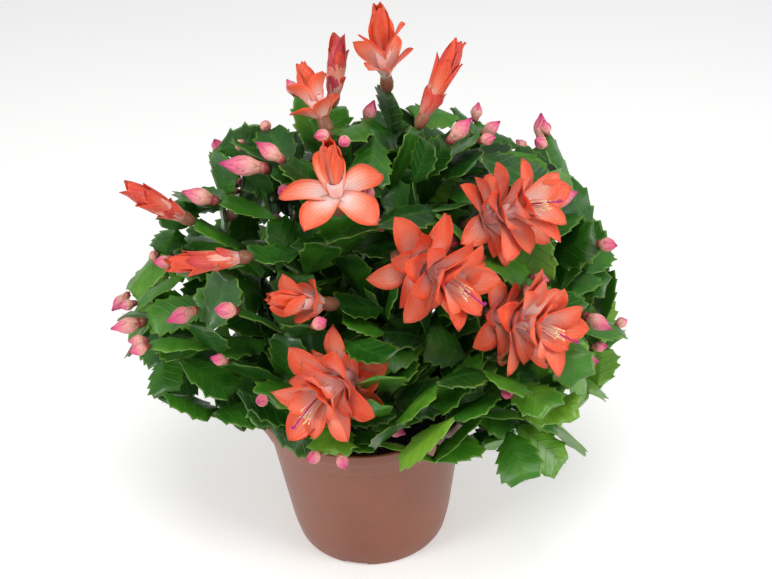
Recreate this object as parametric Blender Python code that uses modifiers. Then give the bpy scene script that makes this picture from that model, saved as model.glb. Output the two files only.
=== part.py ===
"""Potted Christmas cactus: a plastic nursery pot, its peat, and arching chains of flat
stem segments that carry buds and flowers. Metres, +Z up. The origin is on the ground
under the middle of the pot, and the viewer's side of the plant faces -Y."""

import math
import random

import bmesh
import bpy
from mathutils import Quaternion, Vector
from mathutils.bvhtree import BVHTree
from mathutils.geometry import interpolate_bezier

# ---------------------------------------------------------------- driving dimensions
POT_SIDES = 36
POT_SKIN = (                    # radius and height round the pot's cut wall
    (0.0210, 0.0028), (0.0405, 0.0028), (0.0418, 0.0000), (0.0455, 0.0000),
    (0.0472, 0.0120), (0.0570, 0.0835), (0.0600, 0.0843), (0.0610, 0.0943),
    (0.0646, 0.0952), (0.0650, 0.1018), (0.0643, 0.1025), (0.0630, 0.1025),
    (0.0624, 0.0968), (0.0594, 0.0958), (0.0585, 0.0862), (0.0554, 0.0850),
    (0.0457, 0.0130), (0.0438, 0.0046), (0.0220, 0.0046), (0.0190, 0.0018),
)
POT_PAD_RADIUS = 0.0180         # flat middle of the base, level with the foot
DRAIN_HOLES = 6
DRAIN_RADIUS = 0.0040
DRAIN_CIRCLE = 0.0310
FOOT_GAPS = 4
FOOT_GAP_WIDTH = 0.0140
FOOT_GAP_HEIGHT = 0.0020
FOOT_GAP_TURN = -103.0          # degrees
SOIL_SKIN = (
    (0.0434, 0.0049), (0.0454, 0.0132), (0.0550, 0.0852), (0.0581, 0.0866),
    (0.0586, 0.0905),
)
SOIL_CROWN = 0.0915             # height of the peat in the middle
POCKET_RADIUS = 0.0056          # hole in the peat round each rooted cutting
POCKET_FLOOR = 0.0880

GAP = 0.00035                   # left between pieces that touch
BITE = 0.0012                   # how far joined pieces run into each other
SLOT = 0.0047                   # spacing of the three growing points on a segment's tip
SEGMENT = 0.0330                # usual length of a stem segment
SHORTEST = 0.0230
LONGEST = 0.0410
OUTLINE = (                     # place along a segment, half its width, its thickness
    (0.00, 0.0019, 0.0023), (0.40, 0.0090, 0.0029), (0.80, 0.0111, 0.0027),
    (1.00, 0.0067, 0.0020),
)
SEGMENTS_WANTED = 380
SHOOTS_ALLOWED = 46
SEED = 20
NUDGES = (0.0, 0.00003, -0.00004, 0.00007, -0.00009, 0.00015, -0.00021)

CROWN_MIDDLE = Vector((0.008, 0.015, 0.115))
CROWN_RADII = Vector((0.143, 0.095, 0.150))

# Rooted cuttings: turn about the pot in degrees, distance out, and lean in degrees.
CUTTINGS = (
    (-80, 0.020, 14), (-35, 0.030, 24), (5, 0.024, 20), (45, 0.032, 22), (90, 0.022, 16),
    (135, 0.032, 24), (180, 0.026, 22), (-130, 0.030, 24), (20, 0.004, 2),
)

# Flowers: kind, length, place of the foot, turn and rise of the way it faces (degrees).
FLOWERS = (
    ("half", 0.056, (0.021, 0.036, 0.266), (250, 80)),
    ("closed", 0.038, (-0.008, 0.034, 0.260), (60, 72)),
    ("half", 0.042, (-0.010, 0.008, 0.257), (125, 55)),
    ("closed", 0.050, (0.036, 0.016, 0.254), (30, 58)),
    ("hood", 0.052, (-0.006, -0.032, 0.234), (262, 72)),
    ("closed", 0.042, (-0.082, -0.012, 0.221), (197, 42)),
    ("closed", 0.045, (-0.051, -0.040, 0.216), (205, 12)),
    ("half", 0.042, (-0.010, -0.052, 0.193), (204, 24)),
    ("open", 0.064, (0.004, -0.052, 0.157), (235, 6)),
    ("open", 0.066, (0.020, -0.036, 0.210), (308, 8)),
    ("open", 0.060, (0.056, -0.022, 0.216), (331, 32)),
    ("open", 0.062, (0.060, -0.044, 0.179), (318, 12)),
)

# Big buds at the ends of chains: length, place of the foot, turn and rise (degrees).
BIG_BUDS = (
    (0.026, (-0.040, -0.006, 0.246), (182, 12)),
    (0.026, (-0.040, -0.034, 0.232), (188, 5)),
    (0.020, (-0.066, -0.012, 0.232), (176, 20)),
    (0.018, (-0.024, -0.018, 0.252), (150, 25)),
    (0.018, (0.050, 0.004, 0.250), (20, 40)),
    (0.020, (0.098, -0.006, 0.215), (8, 25)),
    (0.020, (-0.112, -0.020, 0.166), (190, -8)),
    (0.018, (-0.080, -0.046, 0.190), (215, 5)),
    (0.018, (0.108, -0.042, 0.150), (330, -10)),
    (0.016, (0.090, -0.052, 0.126), (320, -25)),
    (0.016, (0.012, -0.072, 0.186), (280, 5)),
    (0.018, (0.020, -0.030, 0.238), (275, 30)),
)

# Leafy tips that shape the outline: turn about the pot's middle, reach and height.
EDGE_TIPS = (
    (118, 0.050, 0.256), (70, 0.018, 0.262), (15, 0.056, 0.250), (5, 0.074, 0.243),
    (188, 0.094, 0.208), (187, 0.120, 0.160), (200, 0.104, 0.170), (222, 0.086, 0.168),
    (236, 0.080, 0.158), (352, 0.114, 0.198), (348, 0.124, 0.176), (345, 0.128, 0.142),
    (341, 0.124, 0.112), (332, 0.110, 0.100), (320, 0.098, 0.100), (308, 0.090, 0.102),
    (296, 0.086, 0.118), (277, 0.082, 0.112), (262, 0.082, 0.126), (246, 0.080, 0.128),
    (300, 0.086, 0.150), (330, 0.114, 0.166), (210, 0.098, 0.196),
)


# ---------------------------------------------------------------- shared shapes
def heading(turn, rise):
    """Unit direction from a turn about Z and a rise above level, in degrees."""
    a, b = math.radians(turn), math.radians(rise)
    return Vector((math.cos(a) * math.cos(b), math.sin(a) * math.cos(b), math.sin(b)))


def square_to(direction, wish):
    """The part of a wished-for direction that is square to another one."""
    flat = wish - direction * wish.dot(direction)
    return flat.normalized() if flat.length > 1e-6 else direction.orthogonal().normalized()


def twisted(before, along, wish, limit):
    """The side a blade faces: as wished, but turned only so far from the one before."""
    start = square_to(along, before)
    turn = math.atan2(along.dot(start.cross(wish)), start.dot(wish))
    if abs(turn) > math.pi / 2:
        turn -= math.copysign(math.pi, turn)
    return Quaternion(along, max(-limit, min(limit, turn))) @ start


def loft(rings, point=None):
    """Corners and triangles of a closed skin over a row of rings."""
    count = len(rings[0])
    corners = [corner for ring in rings for corner in ring]
    faces = [tuple(reversed(range(count)))]
    for i in range(len(rings) - 1):
        for k in range(count):
            a = i * count + k
            b = i * count + (k + 1) % count
            faces.append((a, b, b + count))
            faces.append((a, b + count, a + count))
    last = (len(rings) - 1) * count
    if point is None:
        faces.append(tuple(range(last, last + count)))
    else:
        corners.append(point)
        for k in range(count):
            faces.append((last + k, last + (k + 1) % count, len(corners) - 1))
    return corners, faces


def folded(corners, faces):
    """True when a closed skin runs through itself."""
    tree = BVHTree.FromPolygons(corners, faces)
    return any(not set(faces[a]) & set(faces[b]) for a, b in tree.overlap(tree))


def blade_ring(place, along, normal, half, thick):
    """Three-cornered cut through a flat blade: two edges and a rib between them."""
    side = along.cross(normal)
    low = place - normal * (thick * 0.3)
    return [low - side * half, low + side * half, place + normal * (thick * 0.7)]


def round_ring(place, along, normal, radius, count, turn=0.0):
    """Ring of points round a line."""
    side = along.cross(normal)
    ring = []
    for k in range(count):
        a = turn + 2 * math.pi * k / count
        ring.append(place + side * (radius * math.cos(a)) + normal * (radius * math.sin(a)))
    return ring


class Path:
    """A curved line that leaves one place and reaches another in given directions."""

    def __init__(self, start, leave, end, arrive, pull):
        reach = (end - start).length * pull
        self.points = interpolate_bezier(start, start + leave * reach,
                                         end - arrive * reach, end, 40)
        self.run = [0.0]
        for a, b in zip(self.points, self.points[1:]):
            self.run.append(self.run[-1] + (b - a).length)
        self.length = self.run[-1]

    def at(self, distance):
        """Place at a distance along the line."""
        i = 0
        while i < len(self.run) - 2 and self.run[i + 1] < distance:
            i += 1
        along = (self.points[i + 1] - self.points[i]).normalized()
        return self.points[i] + along * (distance - self.run[i])


class Joint:
    """The blunt tip of a segment, with up to three places for something to grow."""

    def __init__(self, place, along, normal, wide, chain, free):
        self.place = place
        self.along = along
        self.normal = normal
        self.side = along.cross(normal)
        self.wide = wide
        self.chain = chain
        self.free = list(free)
        self.solid = -1             # number of the obstacle this joint ends


class Chain:
    """A run of flat segments that grew end to end from one joint."""

    def __init__(self, joint, slot, tips, lengths):
        self.joint = joint
        self.slot = slot
        self.tips = tips
        self.lengths = lengths
        self.count = len(tips)
        self.branches = []
        self.buds = []

    def rings(self, index, swell=0.0, inset=GAP):
        """Cuts through one segment. Its neck lies flat against the tip it grows from."""
        base = self.tips[index - 1] if index else self.joint
        shift = base.side * ((0 if index else self.slot) * SLOT * base.wide)
        tip = self.tips[index]
        start = base.place + shift
        half, thick = OUTLINE[0][1], OUTLINE[0][2]
        if base.chain is None:
            half, thick = 0.0023, 0.0030
        found = [blade_ring(start + base.along * (GAP if index else inset), base.along,
                            base.normal, half + swell, thick + 2 * swell)]
        if tip.along.dot(base.along) < 0.75 or tip.normal.dot(base.normal) < 0.75:
            middle = (base.along + tip.along).normalized()
            normal = square_to(middle, base.normal + tip.normal)
            found.append(blade_ring(start + middle * 0.0036, middle, normal,
                                    0.0027 + swell, 0.0024 + 2 * swell))
        for share, half, thick in OUTLINE[1:]:
            place = start + tip.along * (share * self.lengths[index])
            found.append(blade_ring(place, tip.along, tip.normal, half * tip.wide + swell,
                                    thick + 2 * swell))
        return found

    def body(self, inset):
        """One skin over the whole run of segments."""
        rings = []
        for index in range(self.count):
            rings += self.rings(index, inset=inset)
        return loft(rings)


# ---------------------------------------------------------------- flowers and buds
def petal(foot, axis, out, start, end, length, half, cup):
    """A pointed petal that leans from one angle off the axis to another."""
    side = axis.cross(out)
    rings = []
    for share, wide in ((0.0, half * 0.45), (0.5, half)):
        lean = start + (end - start) * share
        if share:
            middle = start + (end - start) * 0.25
            foot = foot + (axis * math.cos(middle) + out * math.sin(middle)) * (length * 0.5)
        inner = axis * math.sin(lean) - out * math.cos(lean)
        raised = foot + inner * (wide * cup)
        rings.append([raised - side * wide, foot - inner * 0.0011, raised + side * wide])
    final = start + (end - start) * 0.8
    return loft(rings, foot + (axis * math.cos(final) + out * math.sin(final)) * (length * 0.5))


def spindle(place, along, normal, stations, count, tip):
    """Round pointed body along a straight line."""
    rings = [round_ring(place + along * run, along, normal, radius, count)
             for run, radius in stations]
    return loft(rings, place + along * tip)


def flower_bodies(kind, length, place, along, normal):
    """The closed bodies that make up one flower, its foot just clear of the tip."""
    k = length / 0.060
    start = place + along * GAP
    bodies = []
    if kind == "closed":
        k = length / 0.042
        shape = ((0.0, 0.0018), (0.004 * k, 0.0031), (0.012 * k, 0.0046), (0.024 * k, 0.0058),
                 (0.034 * k, 0.0040))
        return [spindle(start, along, normal, shape, 6, 0.042 * k)]
    if kind == "half":
        shape = ((0.0, 0.0018), (0.005, 0.0032), (0.012 * k, 0.0032), (0.036 * k, 0.0056))
        bodies.append(spindle(start, along, normal, shape, 5, 0.060 * k))
        tiers = ((0.010, 4, 0.0, 30, 62, 0.022, 0.0050), (0.020, 3, 0.5, 16, 38, 0.026, 0.0052))
    elif kind == "hood":
        shape = ((0.0, 0.0018), (0.005, 0.0033), (0.014 * k, 0.0034), (0.036 * k, 0.0066))
        bodies.append(spindle(start, along, normal, shape, 5, 0.060 * k))
        tiers = ((0.013, 5, 0.0, 55, 106, 0.031, 0.0062),)
    else:
        shape = ((0.0, 0.0018), (0.005, 0.0033), (0.011, 0.0030), (0.034 * k, 0.0042))
        bodies.append(spindle(start, along, normal, shape, 5, 0.062 * k))
        tiers = ((0.011, 5, 0.0, 42, 104, 0.025, 0.0053), (0.020, 5, 0.5, 34, 84, 0.028, 0.0060),
                 (0.029, 4, 0.2, 16, 60, 0.029, 0.0060))
    side = along.cross(normal)
    dice = random.Random(int(length * 1000) + int(place.z * 10000))
    for run, count, offset, lean, spread, reach, half in tiers:
        for i in range(count):
            a = 2 * math.pi * (i + offset + dice.uniform(-0.12, 0.12)) / count
            out = side * math.cos(a) + normal * math.sin(a)
            foot = start + along * (run * k + dice.uniform(0, 0.0015)) + out * 0.0016
            first = math.radians(lean + dice.uniform(-5, 5))
            final = math.radians(spread + dice.uniform(-12, 12))
            bodies.append(petal(foot, along, out, first, final,
                                reach * k * dice.uniform(0.92, 1.06), half, 0.30))
    return bodies


def bud_body(joint, slot, length, lean, inset):
    """A bud on a segment's tip, leaning a little to its own side."""
    place = joint.place + joint.side * (slot * SLOT * joint.wide) + joint.along * inset
    along = (joint.along + joint.side * lean[0] + joint.normal * lean[1]).normalized()
    normal = square_to(along, joint.normal)
    thick = 0.0016 + 0.135 * length
    base = round_ring(place, joint.along, joint.normal, 0.0016, 4)
    wide = round_ring(place + along * (0.45 * length - inset), along, normal, thick, 4)
    return loft([base, wide], place + along * (length - inset))


# ---------------------------------------------------------------- growing without touching
class Garden:
    """Keeps what has grown so far, so that nothing new grows through it."""

    def __init__(self):
        self.trees = []
        self.middles = []
        self.radii = []
        self.joints = []
        self.chains = []
        self.dice = random.Random(SEED)

    def add(self, corners, faces):
        """Remember a solid and return its number."""
        middle = sum(corners, Vector()) / len(corners)
        self.trees.append(BVHTree.FromPolygons(corners, faces))
        self.middles.append(middle)
        self.radii.append(max((corner - middle).length for corner in corners))
        return len(self.trees) - 1

    def drop_last(self):
        """Forget the solid that was added last."""
        self.trees.pop()
        self.middles.pop()
        self.radii.pop()

    def touches(self, corners, faces, skip):
        """True when a new solid would cut one that is already there."""
        middle = sum(corners, Vector()) / len(corners)
        radius = max((corner - middle).length for corner in corners)
        tree = None
        for number, other in enumerate(self.middles):
            if number in skip or (other - middle).length > radius + self.radii[number]:
                continue
            tree = tree or BVHTree.FromPolygons(corners, faces)
            if tree.overlap(self.trees[number]):
                return True
        return False

    def facing(self, place, along, roll):
        """Upper side of a segment: up and a little inward, then rolled about its length."""
        outward = Vector((place.x, place.y - 0.01, 0.0))
        outward = outward.normalized() if outward.length > 1e-4 else Vector((0, -1, 0))
        normal = square_to(along, Vector((0, 0, 1)) - outward * 0.3)
        return Quaternion(along, roll) @ normal

    def plan(self, joint, slot, target, aim, exact):
        """One try at a chain from a joint to a place."""
        dice = self.dice
        if slot:
            lean = slot * dice.uniform(0.7, 1.3)
            pitch = dice.uniform(-0.6, 0.6)
        else:
            lean, pitch = dice.uniform(-0.2, 0.2), dice.uniform(-0.2, 0.2)
        start = joint.place + joint.side * (slot * SLOT * joint.wide)
        leave = (joint.along + joint.side * lean + joint.normal * pitch).normalized()
        arrive = aim
        if not exact:
            shake = Vector([dice.gauss(0, 1) for _ in range(3)])
            target = target + shake * 0.006
            arrive = (aim + Vector([dice.gauss(0, 0.2) for _ in range(3)])).normalized()
        last = dice.uniform(0.025, 0.036) if exact else 0.0
        path = Path(start, leave, target - aim * last, arrive, dice.uniform(0.30, 0.45))
        count = max(1, round(path.length / SEGMENT))
        step = path.length / count
        if not exact:
            step = min(step, dice.uniform(0.030, 0.037))
        if not SHORTEST <= step <= LONGEST or count > 4:
            return None
        ends = [path.at((i + 1) * step) for i in range(count)]
        if exact:
            ends.append(target)
        roll = dice.gauss(0, 0.38)
        base, tips, lengths = joint, [], []
        chain = Chain(joint, slot, tips, lengths)
        for i, end in enumerate(ends):
            begin = base.place if i else start
            along = (end - begin).normalized()
            if along.dot(base.along) < 0.42:
                return None
            wish = self.facing((begin + end) / 2, along, roll + dice.gauss(0, 0.22))
            normal = twisted(base.normal, along, wish, 0.7)
            wide = dice.uniform(0.86, 1.10) * (0.72 + 0.28 * (end - begin).length / SEGMENT)
            tip = Joint(end, along, normal, wide, chain, (-1, 1))
            tips.append(tip)
            lengths.append((end - begin).length)
            base = tip
        chain.count = len(tips)
        return chain

    def fits(self, chain, friends):
        """True when none of a chain's segments cuts anything else."""
        for i in range(chain.count):
            tight = loft(chain.rings(i))
            if folded(*tight):
                return False
            own = set(friends) if i == chain.count - 1 else set()
            if i == 0:
                own.add(chain.joint.solid)
            if self.touches(*loft(chain.rings(i, swell=0.0006)), skip=own):
                return False
            if i == 0 and self.touches(*loft(chain.rings(i, inset=-BITE)), skip=own):
                return False
            others = set(range(len(self.trees))) - own
            if own and self.touches(*tight, skip=others):
                return False
            if i or chain.joint.chain is not None:
                for corner in tight[0]:
                    if corner.z < 0.0950 and math.hypot(corner.x, corner.y) < 0.0660:
                        return False
        return True

    def place(self, chain, free=(-1, 0, 1)):
        """Keep a chain, and open its tips for more to grow from."""
        if chain.joint.free:
            chain.joint.free.remove(chain.slot)
        if chain.joint.chain is not None:
            chain.joint.chain.branches.append(chain)
        self.chains.append(chain)
        for i, tip in enumerate(chain.tips):
            tip.solid = self.add(*loft(chain.rings(i, inset=-BITE)))
            self.joints.append(tip)
        chain.tips[-1].free = list(free)
        return chain.tips[-1]

    def grow(self, target, aim, exact=False, friends=(), free=(-1, 0, 1), reach=0.13):
        """Grow a chain to a place from the best joint that can carry it."""
        options = []
        for number, joint in enumerate(self.joints):
            away = target - joint.place
            bend = joint.along.angle(away, 0.0)
            if not joint.free or not SHORTEST < away.length < reach or bend > 1.25:
                continue
            turn = joint.along.angle(aim, 0.0)
            cost = away.length + 0.022 * bend + 0.006 * turn - 0.004 * len(joint.free)
            options.append((cost, number))
        options.sort()
        for cost, number in options[:20 if exact else 8]:
            joint = self.joints[number]
            for attempt in range(24 if exact else 10):
                slot = self.dice.choice(joint.free)
                chain = self.plan(joint, slot, target, aim, exact)
                if chain and self.fits(chain, friends):
                    return self.place(chain, free)
        return None

    def total(self):
        """Number of segments so far."""
        return sum(chain.count for chain in self.chains)


def inside_crown(place, share):
    """True when a place is inside the crown and above its lower edge."""
    offset = place - CROWN_MIDDLE
    scaled = Vector([offset[i] / (CROWN_RADII[i] * share) for i in range(3)])
    return scaled.length < 1.0 and place.z > lower_edge(place)


def lower_edge(place):
    """Height of the crown's lower edge: it hangs lowest on the right and in front."""
    turn = math.atan2(place.y, place.x)
    hang = 0.5 + 0.5 * math.cos(turn + math.radians(40))
    return 0.138 - 0.046 * hang


def crown_points(count, share, dice):
    """Evenly spread places on the crown at a share of its size."""
    found = []
    for i in range(count):
        z = 1.0 - 1.45 * (i + 0.5) / count
        ring = math.sqrt(max(0.0, 1.0 - z * z))
        a = i * 2.399963 + 0.6
        spot = Vector((ring * math.cos(a), ring * math.sin(a), z))
        place = CROWN_MIDDLE + Vector([spot[k] * CROWN_RADII[k] * share for k in range(3)])
        if place.z > lower_edge(place):
            found.append(place)
    dice.shuffle(found)
    return found


def crown_aim(place):
    """Way a tip points at a place: out from the middle, drooping low down."""
    aim = place - Vector((0.0, 0.008, 0.118))
    aim.normalize()
    return (aim + Vector((0, 0, -0.45 * (1.0 - max(0.0, aim.z))))).normalized()


def plant_garden():
    """Grow the whole plant and return the garden, its flowers and its big buds."""
    garden = Garden()
    pot = loft([round_ring(Vector((0, 0, z)), Vector((0, 0, 1)), Vector((0, 1, 0)), r, 24)
                for r, z in ((0.046, 0.0), (0.0655, 0.0945), (0.0665, 0.1035),
                             (0.0610, 0.1035), (0.0570, 0.0850), (0.0440, 0.0050))])
    garden.add(*pot)
    flowers = []
    for kind, length, foot, way in FLOWERS:
        place, along = Vector(foot), heading(*way)
        normal = square_to(along, Vector((0, 0, 1)))
        bodies = flower_bodies(kind, length, place, along, normal)
        numbers = [garden.add(*body) for body in bodies]
        flowers.append((bodies, numbers, place, along))
    big = []
    for length, foot, way in BIG_BUDS:
        place, along = Vector(foot), heading(*way)
        big.append((length, place, along))
    for turn, out, lean in CUTTINGS:
        outward = heading(turn, 0)
        along = (Vector((0, 0, 1)) + outward * math.tan(math.radians(lean * 0.5))).normalized()
        root = Joint(outward * out + Vector((0, 0, POCKET_FLOOR)), along,
                     square_to(along, -outward), 1.0, None, (0,))
        root.solid = 0
        target = root.place + heading(turn, 90 - lean) * 0.066
        aim = heading(turn, 90 - lean * 1.6)
        for attempt in range(40):
            chain = garden.plan(root, 0, target, aim, False)
            if chain and chain.count == 2 and garden.fits(chain, ()):
                garden.place(chain)
                break
    missed = []
    for place in crown_points(9, 0.42, garden.dice):
        garden.grow(place, crown_aim(place))
    order = sorted(range(len(flowers)), key=lambda i: flowers[i][2].z)
    for i in order:
        bodies, numbers, place, along = flowers[i]
        if garden.grow(place, along, True, numbers, (), 0.17) is None:
            missed.append("flower %d" % (i + 1))
    ends = []
    for length, place, along in big:
        shape = ((0.0005, 0.0015), (0.45 * length, 0.0016 + 0.135 * length))
        for attempt in range(8):
            shake = Vector([garden.dice.uniform(-1, 1) for _ in range(3)])
            spot = place + shake * (0.0015 * attempt)
            body = spindle(spot, along, square_to(along, Vector((0, 0, 1))), shape, 4, length)
            if garden.touches(*body, skip=()):
                continue
            number = garden.add(*body)
            joint = garden.grow(spot, along, True, (number,), (-1, 1), 0.15)
            if joint:
                ends.append((joint, length))
                break
            garden.drop_last()
        else:
            missed.append("big bud %.3f %.3f %.3f" % tuple(place))
    for place in crown_points(16, 0.56, garden.dice):
        garden.grow(place, crown_aim(place))
    for turn, reach, height in EDGE_TIPS:
        place = heading(turn, 0) * reach + Vector((0, 0, height))
        if garden.grow(place, crown_aim(place)) is None:
            missed.append("edge %d %.3f %.3f" % (turn, reach, height))
    for count, share in ((40, 0.74), (120, 0.95), (60, 0.80), (160, 0.93)):
        for place in crown_points(count, share, garden.dice):
            near = min((joint.place - place).length for joint in garden.joints)
            if near > 0.015 and garden.total() < SEGMENTS_WANTED:
                garden.grow(place, crown_aim(place))
    for attempt in range(2600):
        if garden.total() >= SEGMENTS_WANTED:
            break
        joint = garden.dice.choice(garden.joints)
        way = (joint.along * 0.5 + crown_aim(joint.place) * 0.6
               + Vector([garden.dice.gauss(0, 0.35) for _ in range(3)])).normalized()
        place = joint.place + way * 0.034
        if joint.free and inside_crown(place, 1.0):
            garden.grow(place, way, reach=0.042)
    return garden, flowers, ends, missed


def set_buds(garden, ends):
    """Put buds on the free tips, and return how many there are."""
    dice = garden.dice
    count = 0
    for joint, length in ends:
        joint.chain.buds.append(bud_body(joint, 0, length, (0.0, 0.0), -BITE))
        count += 1
    for joint in list(garden.joints):
        if len(joint.free) < 3 and not (len(joint.free) == 2 and dice.random() < 0.10):
            continue
        pattern = dice.choice(((0,), (0,), (-1, 1), (-1, 1), (1,), ()))
        low = joint.place.z < 0.12
        for slot in pattern:
            if slot not in joint.free or (low and dice.random() < 0.5):
                continue
            length = dice.choice((0.009, 0.010, 0.011, 0.012, 0.014, 0.018))
            lean = (slot * dice.uniform(0.25, 0.6), dice.uniform(-0.35, 0.35))
            bud = bud_body(joint, slot, length, lean, -BITE)
            if folded(*bud) or garden.touches(*bud, skip={joint.solid}):
                continue
            garden.add(*bud)
            joint.free.remove(slot)
            joint.chain.buds.append(bud)
            count += 1
    return count


def share_out(garden):
    """Sort the chains into shoots: each is a chain with the small ones that stay on it."""
    def gather(chain, limit, cuts):
        kept = [chain]
        for branch in chain.branches:
            kept += gather(branch, limit, cuts)
        size = sum(part.count for part in kept)
        if size >= limit or chain.joint.chain is None:
            cuts.append(kept)
            return []
        return kept

    for limit in range(3, 12):
        cuts = []
        for chain in garden.chains:
            if chain.joint.chain is None:
                gather(chain, limit, cuts)
        if len(cuts) <= SHOOTS_ALLOWED:
            return cuts
    return cuts


# ---------------------------------------------------------------- making the objects
def clear_file():
    """Start from an empty file."""
    for item in list(bpy.data.objects):
        bpy.data.objects.remove(item, do_unlink=True)


def paint(name, colour, rough):
    """Plain Principled material."""
    material = bpy.data.materials.new(name)
    material.use_nodes = True
    shader = material.node_tree.nodes["Principled BSDF"]
    shader.inputs["Base Color"].default_value = (*colour, 1.0)
    shader.inputs["Roughness"].default_value = rough
    return material


def mesh_object(name, corners, faces, home):
    """Object from corners and faces, with its faces turned outward."""
    mesh = bpy.data.meshes.new(name)
    mesh.from_pydata([tuple(corner) for corner in corners], [], faces)
    work = bmesh.new()
    work.from_mesh(mesh)
    if work.calc_volume(signed=True) < 0.0:
        bmesh.ops.reverse_faces(work, faces=work.faces)
    work.to_mesh(mesh)
    work.free()
    item = bpy.data.objects.new(name, mesh)
    home.objects.link(item)
    return item


def combined(item, tool, operation):
    """Mesh of one object cut by or joined to another with an exact Boolean."""
    change = item.modifiers.new("boolean", "BOOLEAN")
    change.operation = operation
    change.solver = "EXACT"
    change.object = tool
    depsgraph = bpy.context.evaluated_depsgraph_get()
    mesh = bpy.data.meshes.new_from_object(item.evaluated_get(depsgraph))
    item.modifiers.remove(change)
    return mesh


def is_one_body(mesh):
    """True for a closed mesh whose faces all hang together."""
    work = bmesh.new()
    work.from_mesh(mesh)
    sound = len(work.faces) > 0 and all(edge.is_manifold for edge in work.edges)
    if sound:
        seen, edge_of = {work.faces[:][0]}, [work.faces[:][0]]
        while edge_of:
            for edge in edge_of.pop().edges:
                for face in edge.link_faces:
                    if face not in seen:
                        seen.add(face)
                        edge_of.append(face)
        sound = len(seen) == len(work.faces)
    work.free()
    return sound


def tidy_slivers(item):
    """Close up faces and edges too small to matter, where the body stays whole."""
    work = bmesh.new()
    work.from_mesh(item.data)
    bmesh.ops.dissolve_degenerate(work, dist=0.00002, edges=work.edges)
    mesh = bpy.data.meshes.new(item.name)
    work.to_mesh(mesh)
    work.free()
    if is_one_body(mesh):
        item.data = mesh


def settle(item):
    """Make an object's modifiers part of its mesh."""
    depsgraph = bpy.context.evaluated_depsgraph_get()
    mesh = bpy.data.meshes.new_from_object(item.evaluated_get(depsgraph))
    item.modifiers.clear()
    item.data = mesh
    work = bmesh.new()
    work.from_mesh(mesh)
    bmesh.ops.remove_doubles(work, verts=work.verts, dist=0.00001)
    work.to_mesh(mesh)
    work.free()


def cut(item, tools):
    """Cut tool objects out of an object, then remove them."""
    settle(item)
    for tool in tools:
        for nudge in NUDGES:
            tool.location.x += nudge
            mesh = combined(item, tool, "DIFFERENCE")
            if is_one_body(mesh):
                item.data = mesh
                tidy_slivers(item)
                break
        else:
            print("not cut from", item.name)
        bpy.data.objects.remove(tool, do_unlink=True)


def join_bodies(name, bodies, home):
    """One object from closed bodies that run into each other."""
    item = mesh_object(name, *bodies[0], home)
    for corners, faces in bodies[1:]:
        tool = mesh_object(name + "_piece", corners, faces, home)
        for nudge in NUDGES:
            tool.location = (nudge, nudge * 0.7, -nudge * 0.4)
            mesh = combined(item, tool, "UNION")
            if is_one_body(mesh):
                item.data = mesh
                tidy_slivers(item)
                break
        else:
            print("left out of", name)
        bpy.data.objects.remove(tool, do_unlink=True)
    return item


def turned(name, skin, foot, top, home):
    """Body turned about Z with a Screw modifier, its profile closed on the axis."""
    mesh = bpy.data.meshes.new(name)
    line = [(0.0, 0.0, top)] + [(r, 0.0, z) for r, z in skin] + [(0.0, 0.0, foot)]
    mesh.from_pydata(line, [(i, i + 1) for i in range(len(line) - 1)], [])
    item = bpy.data.objects.new(name, mesh)
    home.objects.link(item)
    turn = item.modifiers.new("turn", "SCREW")
    turn.axis = "Z"
    turn.steps = POT_SIDES
    turn.render_steps = POT_SIDES
    turn.use_merge_vertices = True
    turn.merge_threshold = 0.00001
    return item


def rod(name, place, along, radius, height, sides, home):
    """Straight round tool that starts at a place and runs one way."""
    work = bmesh.new()
    bmesh.ops.create_cone(work, cap_ends=True, segments=sides, radius1=radius,
                          radius2=radius, depth=height)
    bmesh.ops.translate(work, verts=work.verts, vec=(0, 0, height / 2))
    mesh = bpy.data.meshes.new(name)
    work.to_mesh(mesh)
    work.free()
    item = bpy.data.objects.new(name, mesh)
    item.location = place
    item.rotation_mode = "QUATERNION"
    item.rotation_quaternion = along.to_track_quat("Z", "Y")
    home.objects.link(item)
    return item


def block(name, place, turn, size, home):
    """Straight square tool centred on a place and turned about Z."""
    work = bmesh.new()
    bmesh.ops.create_cube(work, size=1.0)
    bmesh.ops.scale(work, verts=work.verts, vec=size)
    mesh = bpy.data.meshes.new(name)
    work.to_mesh(mesh)
    work.free()
    item = bpy.data.objects.new(name, mesh)
    item.location = place
    item.rotation_euler = (0.0, 0.0, turn)
    home.objects.link(item)
    return item


def smooth(item, angle):
    """Shade round faces smooth and keep the sharp edges."""
    for face in item.data.polygons:
        face.use_smooth = True
    item.data.set_sharp_from_angle(angle=math.radians(angle))


clear_file()
model = bpy.data.collections.new("potted_christmas_cactus")
bpy.context.scene.collection.children.link(model)
clay = paint("pot_plastic", (0.36, 0.12, 0.07), 0.45)
peat = paint("peat", (0.035, 0.022, 0.015), 0.95)
green = paint("stem_green", (0.06, 0.22, 0.04), 0.35)
coral = paint("petal_coral", (0.85, 0.17, 0.06), 0.50)
pink = paint("bud_pink", (0.75, 0.12, 0.24), 0.45)

# Pot: one turned wall with a banded rim, drain holes, and gaps through its foot ring.
# The profile runs from the middle of the floor, up the inside, over the rim and down.
pot = turned("pot", POT_SKIN[::-1] + ((POT_PAD_RADIUS, 0.0),), 0.0, 0.0018, model)
tools = []
for i in range(DRAIN_HOLES):
    spot = heading(360.0 * (i + 0.5) / DRAIN_HOLES, 0) * DRAIN_CIRCLE
    tools.append(rod("drain", spot, Vector((0, 0, 1)), DRAIN_RADIUS, 0.010, 8, model))
for i in range(FOOT_GAPS):
    turn = FOOT_GAP_TURN + 360.0 * i / FOOT_GAPS
    tools.append(block("foot_gap", heading(turn, 0) * 0.0445, math.radians(turn),
                       (0.012, FOOT_GAP_WIDTH, FOOT_GAP_HEIGHT * 2), model))
cut(pot, tools)
pot.data.materials.append(clay)
smooth(pot, 28)

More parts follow.
